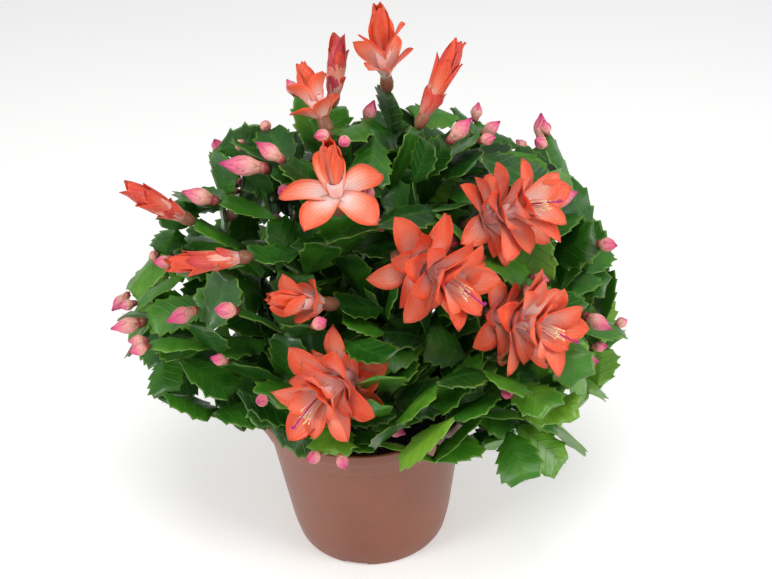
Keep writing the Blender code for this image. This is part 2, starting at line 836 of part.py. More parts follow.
# Peat: it fills the pot to below the rim, with a pocket round each rooted cutting.
soil = turned("soil", SOIL_SKIN[::-1], SOIL_SKIN[0][1], SOIL_CROWN, model)
garden, flowers, ends, missed = plant_garden()
tools = []
for chain in garden.chains:
    if chain.joint.chain is None:
        tools.append(rod("pocket", chain.joint.place, chain.joint.along, POCKET_RADIUS,
                         0.020, 8, model))
cut(soil, tools)
soil.data.materials.append(peat)
smooth(soil, 35)

# Shoots: arching chains of flat segments, with the buds on their tips.
bud_count = set_buds(garden, ends)
for number, chains in enumerate(share_out(garden)):
    bodies = []
    for i, chain in enumerate(chains):
        bodies.append(chain.body(GAP if i == 0 else -BITE))
        bodies += chain.buds
    shoot = join_bodies("shoot_%02d" % (number + 1), bodies, model)
    shoot.data.materials.clear()
    shoot.data.materials.append(green)

# Flowers: each stands just clear of the segment tip that carries it.
for number, (bodies, numbers, place, along) in enumerate(flowers):
    kind = FLOWERS[number][0]
    name = ("bloom_bud_%02d" if kind == "closed" else "flower_%02d") % (number + 1)
    flower = join_bodies(name, bodies, model)
    flower.data.materials.clear()
    flower.data.materials.append(pink if kind == "closed" else coral)

print("segments", garden.total(), "buds", bud_count, "missed", missed)
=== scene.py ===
"""Potted Christmas cactus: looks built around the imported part. Metres, +Z up, with the
origin on the ground under the middle of the pot. The plant is grown again by the rules
that gave the part its layout, then each segment, bud and flower gets its real form."""

import math
import random

import bmesh
import bpy
from mathutils import Matrix, Quaternion, Vector, noise
from mathutils.bvhtree import BVHTree
from mathutils.geometry import interpolate_bezier


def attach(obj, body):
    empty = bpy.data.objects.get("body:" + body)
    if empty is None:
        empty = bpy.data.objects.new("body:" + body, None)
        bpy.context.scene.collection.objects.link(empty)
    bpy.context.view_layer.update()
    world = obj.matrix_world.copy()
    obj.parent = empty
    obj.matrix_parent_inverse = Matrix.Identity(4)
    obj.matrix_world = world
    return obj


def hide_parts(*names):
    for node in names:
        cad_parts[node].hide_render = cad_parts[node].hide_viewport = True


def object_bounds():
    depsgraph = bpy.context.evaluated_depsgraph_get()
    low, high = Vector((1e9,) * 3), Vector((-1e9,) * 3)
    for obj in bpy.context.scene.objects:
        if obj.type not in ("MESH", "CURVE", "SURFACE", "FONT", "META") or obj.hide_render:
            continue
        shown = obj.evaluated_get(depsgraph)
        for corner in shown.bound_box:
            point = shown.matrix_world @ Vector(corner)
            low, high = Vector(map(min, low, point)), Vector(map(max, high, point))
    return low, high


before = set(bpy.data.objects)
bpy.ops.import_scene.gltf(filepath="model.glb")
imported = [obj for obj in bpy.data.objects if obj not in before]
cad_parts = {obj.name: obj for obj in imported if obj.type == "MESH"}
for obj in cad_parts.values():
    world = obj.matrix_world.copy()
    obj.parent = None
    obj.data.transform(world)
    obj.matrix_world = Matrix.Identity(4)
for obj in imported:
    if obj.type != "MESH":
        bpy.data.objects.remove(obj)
cad_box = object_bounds()

# ---------------------------------------------------------------- the studio
# A white table with the plant on it, a large soft lamp on each side and one overhead,
# and a camera above the front that looks down on the crown.
TARGET = Vector((0.0, 0.0, 0.110))
CAMERA_RISE = 34.55             # degrees above level
CAMERA_ROLL = -2.81
CAMERA_REACH = 0.7293           # from the camera to its target
CAMERA_ASIDE = 0.0129           # shifts in the picture's own plane
CAMERA_UP = 0.0458
LAMPS_FACE = Vector((0.0, 0.0, 0.17))
LAMPS = (                       # name, place, width, watts, colour
    ("lamp_left", (-0.95, -0.55, 0.75), 0.50, 7.0, (1.0, 0.98, 0.95)),
    ("lamp_right", (0.95, -0.50, 0.65), 0.50, 6.5, (1.0, 0.99, 0.97)),
    ("lamp_top", (0.05, -0.25, 1.15), 0.60, 5.5, (1.0, 1.0, 1.0)),
)
ROOM_STRENGTH = 0.40            # of the white light from all round
TABLE_RADIUS = 3.0
TABLE_DROP = 0.0002             # keeps the table's top just clear of the pot's foot

tilt = Matrix.Rotation(math.radians(90.0 - CAMERA_RISE), 4, "X")
aimed = tilt @ Matrix.Rotation(math.radians(CAMERA_ROLL), 4, "Z")
spot = TARGET + aimed @ Vector((CAMERA_ASIDE, CAMERA_UP, 0.0))
spot += tilt @ Vector((0, 0, CAMERA_REACH))
lens = bpy.data.cameras.new("camera")
lens.lens = 60.0
lens.sensor_width = 36.0
camera = bpy.data.objects.new("camera", lens)
camera.matrix_world = Matrix.Translation(spot) @ aimed
bpy.context.scene.collection.objects.link(camera)
bpy.context.scene.camera = camera

for name, place, size, power, colour in LAMPS:
    light = bpy.data.lights.new(name, "AREA")
    light.size = size
    light.energy = power
    light.color = colour
    item = bpy.data.objects.new(name, light)
    item.location = place
    item.rotation_mode = "QUATERNION"
    item.rotation_quaternion = (Vector(place) - LAMPS_FACE).to_track_quat("Z", "Y")
    bpy.context.scene.collection.objects.link(item)

bpy.context.scene.view_settings.view_transform = "Standard"
room = bpy.data.worlds.new("room")
room.use_nodes = True
backdrop = room.node_tree.nodes["Background"]
backdrop.inputs["Color"].default_value = (1.0, 1.0, 1.0, 1.0)
backdrop.inputs["Strength"].default_value = ROOM_STRENGTH
bpy.context.scene.world = room


class Signal:
    """A shader socket that takes part in ordinary sums, each adding its Math node."""

    def __init__(self, tree, socket=None):
        self.tree = tree
        self.socket = socket

    def node(self, kind, settings, values, output=0):
        """Add a node: its type, its settings, then the values or links of its sockets."""
        node = self.tree.nodes.new("ShaderNode" + kind)
        for name, value in settings.items():
            if name == "stops":
                ramp = node.color_ramp.elements
                while len(ramp) < len(value):
                    ramp.new(1.0)
                for stop, (place, colour) in zip(ramp, value):
                    stop.position = place
                    stop.color = (*colour, 1.0)
            else:
                setattr(node, name, value)
        for name, value in values.items():
            if isinstance(value, Signal):
                self.tree.links.new(value.socket, node.inputs[name])
            else:
                node.inputs[name].default_value = value
        return Signal(self.tree, node.outputs[output])

    def sum(self, operation, first, second=0.0):
        """One Math node."""
        return self.node("Math", {"operation": operation}, {0: first, 1: second})

    def __add__(self, other):
        return self.sum("ADD", self, other)

    def __radd__(self, other):
        return self.sum("ADD", other, self)

    def __sub__(self, other):
        return self.sum("SUBTRACT", self, other)

    def __rsub__(self, other):
        return self.sum("SUBTRACT", other, self)

    def __mul__(self, other):
        return self.sum("MULTIPLY", self, other)

    def __rmul__(self, other):
        return self.sum("MULTIPLY", other, self)

    def __pow__(self, other):
        return self.sum("POWER", self, other)

    def __abs__(self):
        return self.sum("ABSOLUTE", self)

    def ease(self, low, high):
        """0 below one value, 1 above another, and a smooth change between them."""
        return self.node("MapRange", {"interpolation_type": "SMOOTHSTEP"},
                         {0: self, 1: low, 2: high})

    def blend(self, first, second):
        """Colour between two colours, as this goes from 0 to 1."""
        pair = {}
        for socket, colour in ((6, first), (7, second)):
            pair[socket] = colour if isinstance(colour, Signal) else (*colour, 1.0)
        return self.node("Mix", {"data_type": "RGBA"}, {0: self, **pair}, 2)

    def grain(self, scale, detail=3.0, rough=0.55):
        """Soft random pattern from 0 to 1 over the object's own space."""
        return self.node("TexNoise", {}, {"Vector": self.space(), "Scale": scale,
                                          "Detail": detail, "Roughness": rough})

    def space(self):
        """The object's own coordinates."""
        return self.node("TexCoord", {}, {}, "Object")

    def drawn(self, name):
        """A number that the mesh carries at each of its points."""
        return self.node("Attribute", {"attribute_name": name}, {}, "Fac")


def new_finish(name, **constants):
    """A Principled material, its shader, and a signal to start its patterns from."""
    material = bpy.data.materials.new(name)
    material.use_nodes = True
    shader = material.node_tree.nodes["Principled BSDF"]
    for socket, value in constants.items():
        shader.inputs[socket.replace("_", " ")].default_value = value
    return material, shader, Signal(material.node_tree)


def feed(shader, **signals):
    """Lead signals into a shader's sockets. Height goes through a Bump node."""
    for socket, signal in signals.items():
        if socket == "Height":
            signal = signal.node("Bump", {}, {"Strength": 1.0, "Distance": 1.0,
                                              "Height": signal})
            socket = "Normal"
        signal.tree.links.new(signal.socket, shader.inputs[socket.replace("_", " ")])


def as_object(work, name):
    """Turn a finished bmesh into an object of the scene."""
    mesh = bpy.data.meshes.new(name)
    work.to_mesh(mesh)
    work.free()
    item = bpy.data.objects.new(name, mesh)
    bpy.context.scene.collection.objects.link(item)
    return item


table_finish, shader, start = new_finish("table_white", Roughness=0.6,
                                         Emission_Color=(1.0, 1.0, 1.0, 1.0),
                                         Emission_Strength=0.28)
feed(shader, Base_Color=start.grain(6.0).blend((0.86, 0.86, 0.86), (0.90, 0.90, 0.90)))
work = bmesh.new()
bmesh.ops.create_circle(work, cap_ends=True, segments=96, radius=TABLE_RADIUS)
table_top = as_object(work, "table_top")
table_top.location.z = -TABLE_DROP
table_top.data.materials.append(table_finish)


# ---------------------------------------------------------------- the pot
# One thin-walled plastic nursery pot, moulded in a single shot. Its rim is a banded
# collar over a tapered wall, and water leaves through holes and gaps in its foot ring.
DRAIN_HOLES = 6
DRAIN_RADIUS = 0.0040
DRAIN_CIRCLE = 0.0310
FOOT_GAPS = 4
FOOT_GAP_WIDTH = 0.0140
FOOT_GAP_HEIGHT = 0.0020
FOOT_GAP_TURN = -103.0          # degrees
FOOT_RING_RADIUS = 0.0445       # middle of the foot gaps
POT_STEPS = 144
POT_CREASE = 50                 # degrees past which an edge stays sharp
POT_LINE = (                    # radius, height and rounding of the wall's corners
    (0.0000, 0.0000, 0.0), (0.0180, 0.0000, 0.0004), (0.0208, 0.0028, 0.0006),
    (0.0405, 0.0028, 0.0005), (0.0418, 0.0000, 0.0006), (0.0448, 0.0000, 0.0016),
    (0.0474, 0.0110, 0.0050), (0.0566, 0.0800, 0.0006), (0.0570, 0.0835, 0.0006),
    (0.0598, 0.0841, 0.0010), (0.0611, 0.0943, 0.0006), (0.0643, 0.0948, 0.0012),
    (0.0650, 0.1025, 0.0014), (0.0630, 0.1025, 0.0008), (0.0624, 0.0968, 0.0006),
    (0.0594, 0.0958, 0.0006), (0.0585, 0.0862, 0.0006), (0.0554, 0.0850, 0.0006),
    (0.0457, 0.0130, 0.0040), (0.0438, 0.0046, 0.0010), (0.0220, 0.0046, 0.0006),
    (0.0190, 0.0018, 0.0006), (0.0000, 0.0018, 0.0),
)


def heading(turn, rise):
    """Unit direction from a turn about Z and a rise above level, in degrees."""
    a, b = math.radians(turn), math.radians(rise)
    level = math.cos(b)
    return Vector((math.cos(a) * level, math.sin(a) * level, math.sin(b)))


def square_to(direction, wish):
    """The part of a wished-for direction that is square to another one."""
    flat = wish - direction * wish.dot(direction)
    if flat.length > 1e-6:
        return flat.normalized()
    return direction.orthogonal().normalized()


def twisted(before, along, wish, limit):
    """The side a blade faces: as wished, but turned only so far from the one before."""
    start = square_to(along, before)
    turn = math.atan2(along.dot(start.cross(wish)), start.dot(wish))
    if abs(turn) > math.pi / 2:
        turn -= math.copysign(math.pi, turn)
    return Quaternion(along, max(-limit, min(limit, turn))) @ start


def rounded(line, steps):
    """A line of corners with each corner rounded off by its own radius."""
    points = []
    for i, (r, z, radius) in enumerate(line):
        here = Vector((r, 0.0, z))
        if not 0 < i < len(line) - 1 or radius == 0.0:
            points.append(here)
            continue
        before = Vector((line[i - 1][0], 0.0, line[i - 1][1])) - here
        after = Vector((line[i + 1][0], 0.0, line[i + 1][1])) - here
        reach = min(radius, before.length * 0.45, after.length * 0.45)
        start = here + before.normalized() * reach
        end = here + after.normalized() * reach
        points += interpolate_bezier(start, start.lerp(here, 0.6),
                                     end.lerp(here, 0.6), end, steps)
    return points


def spun(line, steps):
    """Mesh turned about Z from a line of points that starts and ends on the axis."""
    work = bmesh.new()
    points = [work.verts.new(point) for point in line]
    edges = [work.edges.new(pair) for pair in zip(points, points[1:])]
    bmesh.ops.spin(work, geom=points + edges, cent=(0, 0, 0), axis=(0, 0, 1),
                   dvec=(0, 0, 0), angle=2 * math.pi, steps=steps, use_merge=True)
    bmesh.ops.remove_doubles(work, verts=work.verts, dist=0.000001)
    bmesh.ops.recalc_face_normals(work, faces=work.faces)
    return work


def keep(work, name, finish, slot, *nodes):
    """Make a finished mesh a piece of the object that stands for its nodes."""
    item = as_object(work, name)
    item.data.materials.append(finish)
    item.data.shade_smooth()
    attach(item, "root")
    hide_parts(*nodes)
    return item


def cut_out(item, work):
    """Take a closed shape out of an object for good."""
    tool = as_object(work, "cutter")
    change = item.modifiers.new("cut", "BOOLEAN")
    change.operation = "DIFFERENCE"
    change.solver = "EXACT"
    change.object = tool
    graph = bpy.context.evaluated_depsgraph_get()
    mesh = bpy.data.meshes.new_from_object(item.evaluated_get(graph))
    item.modifiers.remove(change)
    item.data = mesh
    bpy.data.objects.remove(tool, do_unlink=True)


plastic, shader, start = new_finish("terracotta_plastic", Coat_Weight=0.12,
                                    Coat_Roughness=0.35)
height = start.node("SeparateXYZ", {}, {0: start.space()}, 2)
cloud = start.grain(28.0, 4.0)
speck = start.grain(620.0, 2.0)
# Darker patches high on the rim band, from about 88 mm up to the lip.
rim_darkening = start.grain(95.0, 5.0, 0.7).ease(0.62, 0.74) * height.ease(0.088, 0.098)
dust = start.grain(160.0, 6.0, 0.75).ease(0.52, 0.80)
colour = cloud.ease(0.3, 0.7).blend((0.185, 0.042, 0.014), (0.220, 0.053, 0.019))
colour = (dust * 0.18).blend(colour, (0.28, 0.11, 0.07))
colour = (rim_darkening * 0.45).blend(colour, (0.05, 0.022, 0.014))
feed(shader, Base_Color=colour, Roughness=0.30 + 0.14 * cloud + 0.10 * dust,
     Height=0.00009 * speck + 0.00025 * cloud)

work = spun(rounded(POT_LINE, 5), POT_STEPS)
pot = keep(work, "pot_shell", plastic, "pot", "pot")
for i in range(DRAIN_HOLES):
    work = bmesh.new()
    bmesh.ops.create_cone(work, cap_ends=True, segments=24, radius1=DRAIN_RADIUS,
                          radius2=DRAIN_RADIUS, depth=0.020)
    spot = heading(360.0 * (i + 0.5) / DRAIN_HOLES, 0) * DRAIN_CIRCLE
    bmesh.ops.translate(work, verts=work.verts, vec=spot)
    cut_out(pot, work)
for i in range(FOOT_GAPS):
    turn = FOOT_GAP_TURN + 360.0 * i / FOOT_GAPS
    work = bmesh.new()
    bmesh.ops.create_cube(work, size=1.0)
    bmesh.ops.scale(work, verts=work.verts,
                    vec=(0.012, FOOT_GAP_WIDTH, FOOT_GAP_HEIGHT * 2))
    edges = [edge for edge in work.edges
             if abs((edge.verts[0].co - edge.verts[1].co).x) > 0.01]
    bmesh.ops.bevel(work, geom=edges, offset=0.0012, segments=3, profile=0.5, material=-1,
                    affect="EDGES")
    bmesh.ops.rotate(work, verts=work.verts, cent=(0, 0, 0),
                     matrix=Matrix.Rotation(math.radians(turn), 3, "Z"))
    bmesh.ops.translate(work, verts=work.verts,
                        vec=heading(turn, 0) * FOOT_RING_RADIUS)
    cut_out(pot, work)
pot.data.shade_smooth()
pot.data.set_sharp_from_angle(angle=math.radians(POT_CREASE))


# ---------------------------------------------------------------- the peat
# Dark moist peat, pressed in by hand to below the rim, lumpy on top, with crumbs,
# short pale fibres and a few dry roots lying on it.
SOIL_SKIN = (                   # radius and height of its sides, from the floor up
    (0.0434, 0.0049), (0.0454, 0.0132), (0.0550, 0.0852), (0.0581, 0.0866),
)
SOIL_CROWN = 0.0915             # height of the peat in the middle
SOIL_RINGS = 14                 # rings of points in its lumpy top
CRUMBS = 900
CRUMB_SIZES = (0.0006, 0.0008, 0.0011, 0.0016, 0.0023)
ROOTLETS = 150
DRY_STEMS = ((203, 0.004), (208, 0.009))    # turn about the pot, and how they rise
peat_dice = random.Random(5)


def peat_height(x, y):
    """Height of the lumpy top of the peat, which sinks a little towards the wall."""
    lump = noise.noise(Vector((x * 70, y * 70, 0.3))) * 0.0016
    lump += noise.noise(Vector((x * 230, y * 230, 4.1))) * 0.0007
    return SOIL_CROWN - 0.0006 - (x * x + y * y) + lump


peat, shader, start = new_finish("peat_dark", Roughness=0.92)
clod = start.grain(420.0, 6.0, 0.7)
fibre = start.grain(150.0, 8.0, 0.8)
colour = clod.ease(0.35, 0.75).blend((0.008, 0.005, 0.0035), (0.050, 0.031, 0.020))
colour = fibre.ease(0.60, 0.74).blend(colour, (0.115, 0.075, 0.045))
feed(shader, Base_Color=colour, Height=0.0016 * clod + 0.0010 * fibre)

work = bmesh.new()
bmesh.ops.create_circle(work, cap_ends=False, segments=72, radius=0.0582)
rim_edges = list(work.edges)
for step in range(SOIL_RINGS):
    ring = bmesh.ops.extrude_edge_only(work, edges=rim_edges)["geom"]
    fresh = [part for part in ring if isinstance(part, bmesh.types.BMVert)]
    rim_edges = [part for part in ring if isinstance(part, bmesh.types.BMEdge)]
    share = (SOIL_RINGS - 0.8 - step) / (SOIL_RINGS + 0.2 - step)
    bmesh.ops.scale(work, verts=fresh, vec=(share, share, 1.0))
bmesh.ops.contextual_create(work, geom=rim_edges)
for vert in work.verts:
    vert.co.z = peat_height(vert.co.x, vert.co.y)
rim_edges = [edge for edge in work.edges if edge.is_boundary]
for radius, z in reversed(SOIL_SKIN):
    ring = bmesh.ops.extrude_edge_only(work, edges=rim_edges)["geom"]
    rim_edges = [part for part in ring if isinstance(part, bmesh.types.BMEdge)]
    for vert in [part for part in ring if isinstance(part, bmesh.types.BMVert)]:
        flat = Vector((vert.co.x, vert.co.y, 0.0)).normalized() * radius
        vert.co = (flat.x, flat.y, z)
bmesh.ops.contextual_create(work, geom=rim_edges)
bmesh.ops.recalc_face_normals(work, faces=work.faces)
for i in range(CRUMBS):
    reach, turn = 0.0565 * math.sqrt(peat_dice.random()), peat_dice.uniform(0, 360)
    place = heading(turn, 0) * reach
    size = peat_dice.choice(CRUMB_SIZES)
    crumb = bmesh.ops.create_icosphere(work, subdivisions=1, radius=size)["verts"]
    bmesh.ops.scale(work, verts=crumb,
                    vec=[peat_dice.uniform(0.6, 1.3) for _ in range(3)])
    bmesh.ops.rotate(work, verts=crumb, cent=(0, 0, 0),
                     matrix=Matrix.Rotation(peat_dice.uniform(0, 6.28), 3, "X"))
    place.z = peat_height(place.x, place.y) + size * 0.25
    bmesh.ops.translate(work, verts=crumb, vec=place)
keep(work, "peat_top", peat, "soil", "soil")


def strand(work, line, radius, sides, end=0.5):
    """Thin round strand along a line of points, closed at both ends."""
    made = bmesh.ops.create_circle(work, cap_ends=True, segments=sides,
                                   radius=radius)["verts"]
    way = (line[1] - line[0]).normalized()
    bmesh.ops.rotate(work, verts=made, cent=(0, 0, 0),
                     matrix=way.to_track_quat("Z", "Y").to_matrix())
    bmesh.ops.translate(work, verts=made, vec=line[0])
    cap = made[0].link_faces[0]
    points = list(made)
    for i in range(1, len(line)):
        fresh = bmesh.ops.extrude_face_region(work, geom=[cap])["geom"]
        ring = [part for part in fresh if isinstance(part, bmesh.types.BMVert)]
        cap = [part for part in fresh if isinstance(part, bmesh.types.BMFace)][0]
        onward = (line[min(i + 1, len(line) - 1)] - line[i - 1]).normalized()
        bmesh.ops.rotate(work, verts=ring, cent=line[i - 1],
                         matrix=way.rotation_difference(onward).to_matrix())
        bmesh.ops.translate(work, verts=ring, vec=line[i] - line[i - 1])
        way = onward
        points += ring
    for vert in ring:
        vert.co = line[-1] + (vert.co - line[-1]) * end
    faces = {face for vert in points for face in vert.link_faces}
    bmesh.ops.recalc_face_normals(work, faces=list(faces))
    return points


root_finish, shader, start = new_finish("dry_root", Roughness=0.85)
brown = start.grain(300.0).ease(0.3, 0.7)
feed(shader, Base_Color=brown.blend((0.05, 0.028, 0.016), (0.20, 0.13, 0.075)))

work = bmesh.new()
for i in range(ROOTLETS):
    reach, turn = 0.052 * math.sqrt(peat_dice.random()), peat_dice.uniform(0, 360)
    place = heading(turn, 0) * reach
    way = heading(peat_dice.uniform(0, 360), 0)
    bow = heading(peat_dice.uniform(0, 360), 30) * 0.002
    length = peat_dice.uniform(0.003, 0.010)
    line = []
    for k in range(5):
        bend = bow * (k / 4 * (1 - k / 4) * 2)
        point = place + way * (length * (k / 4 - 0.5)) + bend
        point.z = peat_height(point.x, point.y) + 0.0005 + bend.z
        line.append(point)
    strand(work, line, peat_dice.uniform(0.00010, 0.00022), 4)
for turn, rise in DRY_STEMS:
    line = []
    for k in range(8):
        share = k / 7
        point = heading(turn, 0) * (0.0560 + 0.006 * share)
        point += heading(turn + 90, 0) * (0.003 * math.sin(share * 5))
        point.z = 0.0895 + 0.0135 * share + rise * share * share
        line.append(point)
    strand(work, line, 0.00040, 5)
keep(work, "dry_roots", root_finish, "soil", "soil")


# ---------------------------------------------------------------- how the plant grew
# Nine rooted cuttings, from which chains of flat segments grew end to end. The rules and
# the seed are those of the part, so that each chain takes the same way again.
SEGMENT = 0.0330                # usual length of a stem segment
SHORTEST = 0.0230
LONGEST = 0.0410
GAP = 0.00035                   # left between pieces that touch
BITE = 0.0012                   # how far joined pieces run into each other
SLOT = 0.0047                   # spacing of the three growing points on a segment's tip
OUTLINE = (                     # place along a segment, half its width, its thickness
    (0.00, 0.0019, 0.0023), (0.40, 0.0090, 0.0029), (0.80, 0.0111, 0.0027),
    (1.00, 0.0067, 0.0020),
)
SEGMENTS_WANTED = 380
SHOOTS_ALLOWED = 46
SEED = 20
POCKET_FLOOR = 0.0880           # where the cuttings' stems start, in the peat
POT_TOP_CLEAR = 0.0950          # below this, growth stays outside the pot's radius
POT_SIDE_CLEAR = 0.0660
OPEN_LENGTH = 0.060             # lengths that the shapes of open and closed
CLOSED_LENGTH = 0.042           # flowers are drawn at
GOLDEN_TURN = 2.399963          # spreads places evenly over the crown
CURVE_STEPS = 40
CROWN_MIDDLE = Vector((0.008, 0.015, 0.115))
CROWN_RADII = Vector((0.143, 0.095, 0.150))
# Rooted cuttings: turn about the pot in degrees, distance out, and lean in degrees.
CUTTINGS = (
    (-80, 0.020, 14), (-35, 0.030, 24), (5, 0.024, 20), (45, 0.032, 22), (90, 0.022, 16),
    (135, 0.032, 24), (180, 0.026, 22), (-130, 0.030, 24), (20, 0.004, 2),
)
# Flowers: kind, length, place of the foot, turn and rise of the way it faces (degrees).
FLOWERS = (
    ("half", 0.056, (0.021, 0.036, 0.266), (250, 80)),
    ("closed", 0.038, (-0.008, 0.034, 0.260), (60, 72)),
    ("half", 0.042, (-0.010, 0.008, 0.257), (125, 55)),
    ("closed", 0.050, (0.036, 0.016, 0.254), (30, 58)),
    ("hood", 0.052, (-0.006, -0.032, 0.234), (262, 72)),
    ("closed", 0.042, (-0.082, -0.012, 0.221), (197, 42)),
    ("closed", 0.045, (-0.051, -0.040, 0.216), (205, 12)),
    ("half", 0.042, (-0.010, -0.052, 0.193), (204, 24)),
    ("open", 0.064, (0.004, -0.052, 0.157), (235, 6)),
    ("open", 0.066, (0.020, -0.036, 0.210), (308, 8)),
    ("open", 0.060, (0.056, -0.022, 0.216), (331, 32)),
    ("open", 0.062, (0.060, -0.044, 0.179), (318, 12)),
)
# Big buds at the ends of chains: length, place of the foot, turn and rise (degrees).
BIG_BUDS = (
    (0.026, (-0.040, -0.006, 0.246), (182, 12)),
    (0.026, (-0.040, -0.034, 0.232), (188, 5)),
    (0.020, (-0.066, -0.012, 0.232), (176, 20)),
    (0.018, (-0.024, -0.018, 0.252), (150, 25)),
    (0.018, (0.050, 0.004, 0.250), (20, 40)),
    (0.020, (0.098, -0.006, 0.215), (8, 25)),
    (0.020, (-0.112, -0.020, 0.166), (190, -8)),
    (0.018, (-0.080, -0.046, 0.190), (215, 5)),
    (0.018, (0.108, -0.042, 0.150), (330, -10)),
    (0.016, (0.090, -0.052, 0.126), (320, -25)),
    (0.016, (0.012, -0.072, 0.186), (280, 5)),
    (0.018, (0.020, -0.030, 0.238), (275, 30)),
)
# Leafy tips that shape the outline: turn about the pot's middle, reach and height.
EDGE_TIPS = (
    (118, 0.050, 0.256), (70, 0.018, 0.262), (15, 0.056, 0.250), (5, 0.074, 0.243),
    (188, 0.094, 0.208), (187, 0.120, 0.160), (200, 0.104, 0.170), (222, 0.086, 0.168),
    (236, 0.080, 0.158), (352, 0.114, 0.198), (348, 0.124, 0.176), (345, 0.128, 0.142),
    (341, 0.124, 0.112), (332, 0.110, 0.100), (320, 0.098, 0.100), (308, 0.090, 0.102),
    (296, 0.086, 0.118), (277, 0.082, 0.112), (262, 0.082, 0.126), (246, 0.080, 0.128),
    (300, 0.086, 0.150), (330, 0.114, 0.166), (210, 0.098, 0.196),
)


def loft(rings, point=None):
    """Corners and triangles of a closed skin over a row of rings."""
    count = len(rings[0])
    corners = [corner for ring in rings for corner in ring]
    faces = [tuple(reversed(range(count)))]
    for i in range(len(rings) - 1):
        for k in range(count):
            a = i * count + k
            b = i * count + (k + 1) % count
            faces.append((a, b, b + count))
            faces.append((a, b + count, a + count))
    last = (len(rings) - 1) * count
    if point is None:
        faces.append(tuple(range(last, last + count)))
    else:
        corners.append(point)
        for k in range(count):
            faces.append((last + k, last + (k + 1) % count, len(corners) - 1))
    return corners, faces


def folded(corners, faces):
    """True when a closed skin runs through itself."""
    tree = BVHTree.FromPolygons(corners, faces)
    return any(not set(faces[a]) & set(faces[b]) for a, b in tree.overlap(tree))


def blade_ring(place, along, normal, half, thick):
    """Three-cornered cut through a flat blade: two edges and a rib between them."""
    side = along.cross(normal)
    low = place - normal * (thick * 0.3)
    return [low - side * half, low + side * half, place + normal * (thick * 0.7)]


def round_ring(place, along, normal, radius, count):
    """Ring of points round a line."""
    side = along.cross(normal)
    ring = []
    for k in range(count):
        a = 2 * math.pi * k / count
        ring.append(place + side * (radius * math.cos(a))
                    + normal * (radius * math.sin(a)))
    return ring


class Path:
    """A curved line that leaves one place and reaches another in given directions."""

    def __init__(self, start, leave, end, arrive, pull):
        reach = (end - start).length * pull
        self.points = interpolate_bezier(start, start + leave * reach,
                                         end - arrive * reach, end, CURVE_STEPS)
        self.run = [0.0]
        for a, b in zip(self.points, self.points[1:]):
            self.run.append(self.run[-1] + (b - a).length)
        self.length = self.run[-1]

    def at(self, distance):
        """Place at a distance along the line."""
        i = 0
        while i < len(self.run) - 2 and self.run[i + 1] < distance:
            i += 1
        along = (self.points[i + 1] - self.points[i]).normalized()
        return self.points[i] + along * (distance - self.run[i])


class Joint:
    """The blunt tip of a segment, with up to three places for something to grow."""

    def __init__(self, place, along, normal, wide, chain, free):
        self.place = place
        self.along = along
        self.normal = normal
        self.side = along.cross(normal)
        self.wide = wide
        self.chain = chain
        self.free = list(free)
        self.solid = -1             # number of the obstacle this joint ends


class Chain:
    """A run of flat segments that grew end to end from one joint."""

    def __init__(self, joint, slot, tips, lengths):
        self.joint = joint
        self.slot = slot
        self.tips = tips
        self.lengths = lengths
        self.branches = []
        self.buds = []

    @property
    def count(self):
        """Number of segments in the chain."""
        return len(self.tips)

    def rings(self, index, swell=0.0, inset=GAP):
        """Cuts through one segment. Its neck lies flat against the tip it grows from."""
        base = self.tips[index - 1] if index else self.joint
        shift = base.side * ((0 if index else self.slot) * SLOT * base.wide)
        tip = self.tips[index]
        start = base.place + shift
        half, thick = OUTLINE[0][1], OUTLINE[0][2]
        if base.chain is None:
            half, thick = 0.0023, 0.0030
        found = [blade_ring(start + base.along * (GAP if index else inset), base.along,
                            base.normal, half + swell, thick + 2 * swell)]
        if tip.along.dot(base.along) < 0.75 or tip.normal.dot(base.normal) < 0.75:
            middle = (base.along + tip.along).normalized()
            normal = square_to(middle, base.normal + tip.normal)
            found.append(blade_ring(start + middle * 0.0036, middle, normal,
                                    0.0027 + swell, 0.0024 + 2 * swell))
        for share, half, thick in OUTLINE[1:]:
            place = start + tip.along * (share * self.lengths[index])
            found.append(blade_ring(place, tip.along, tip.normal, half * tip.wide + swell,
                                    thick + 2 * swell))
        return found


def petal(foot, axis, out, start, end, length, half, cup):
    """A pointed petal that leans from one angle off the axis to another."""
    side = axis.cross(out)
    rings = []
    for share, wide in ((0.0, half * 0.45), (0.5, half)):
        lean = start + (end - start) * share
        if share:
            middle = start + (end - start) * 0.25
            foot = foot + (axis * math.cos(middle)
                           + out * math.sin(middle)) * (length * 0.5)
        inner = axis * math.sin(lean) - out * math.cos(lean)
        raised = foot + inner * (wide * cup)
        rings.append([raised - side * wide, foot - inner * 0.0011, raised + side * wide])
    final = start + (end - start) * 0.8
    point = foot + (axis * math.cos(final) + out * math.sin(final)) * (length * 0.5)
    return loft(rings, point)


def spindle(place, along, normal, stations, count, tip):
    """Round pointed body along a straight line."""
    rings = [round_ring(place + along * run, along, normal, radius, count)
             for run, radius in stations]
    return loft(rings, place + along * tip)


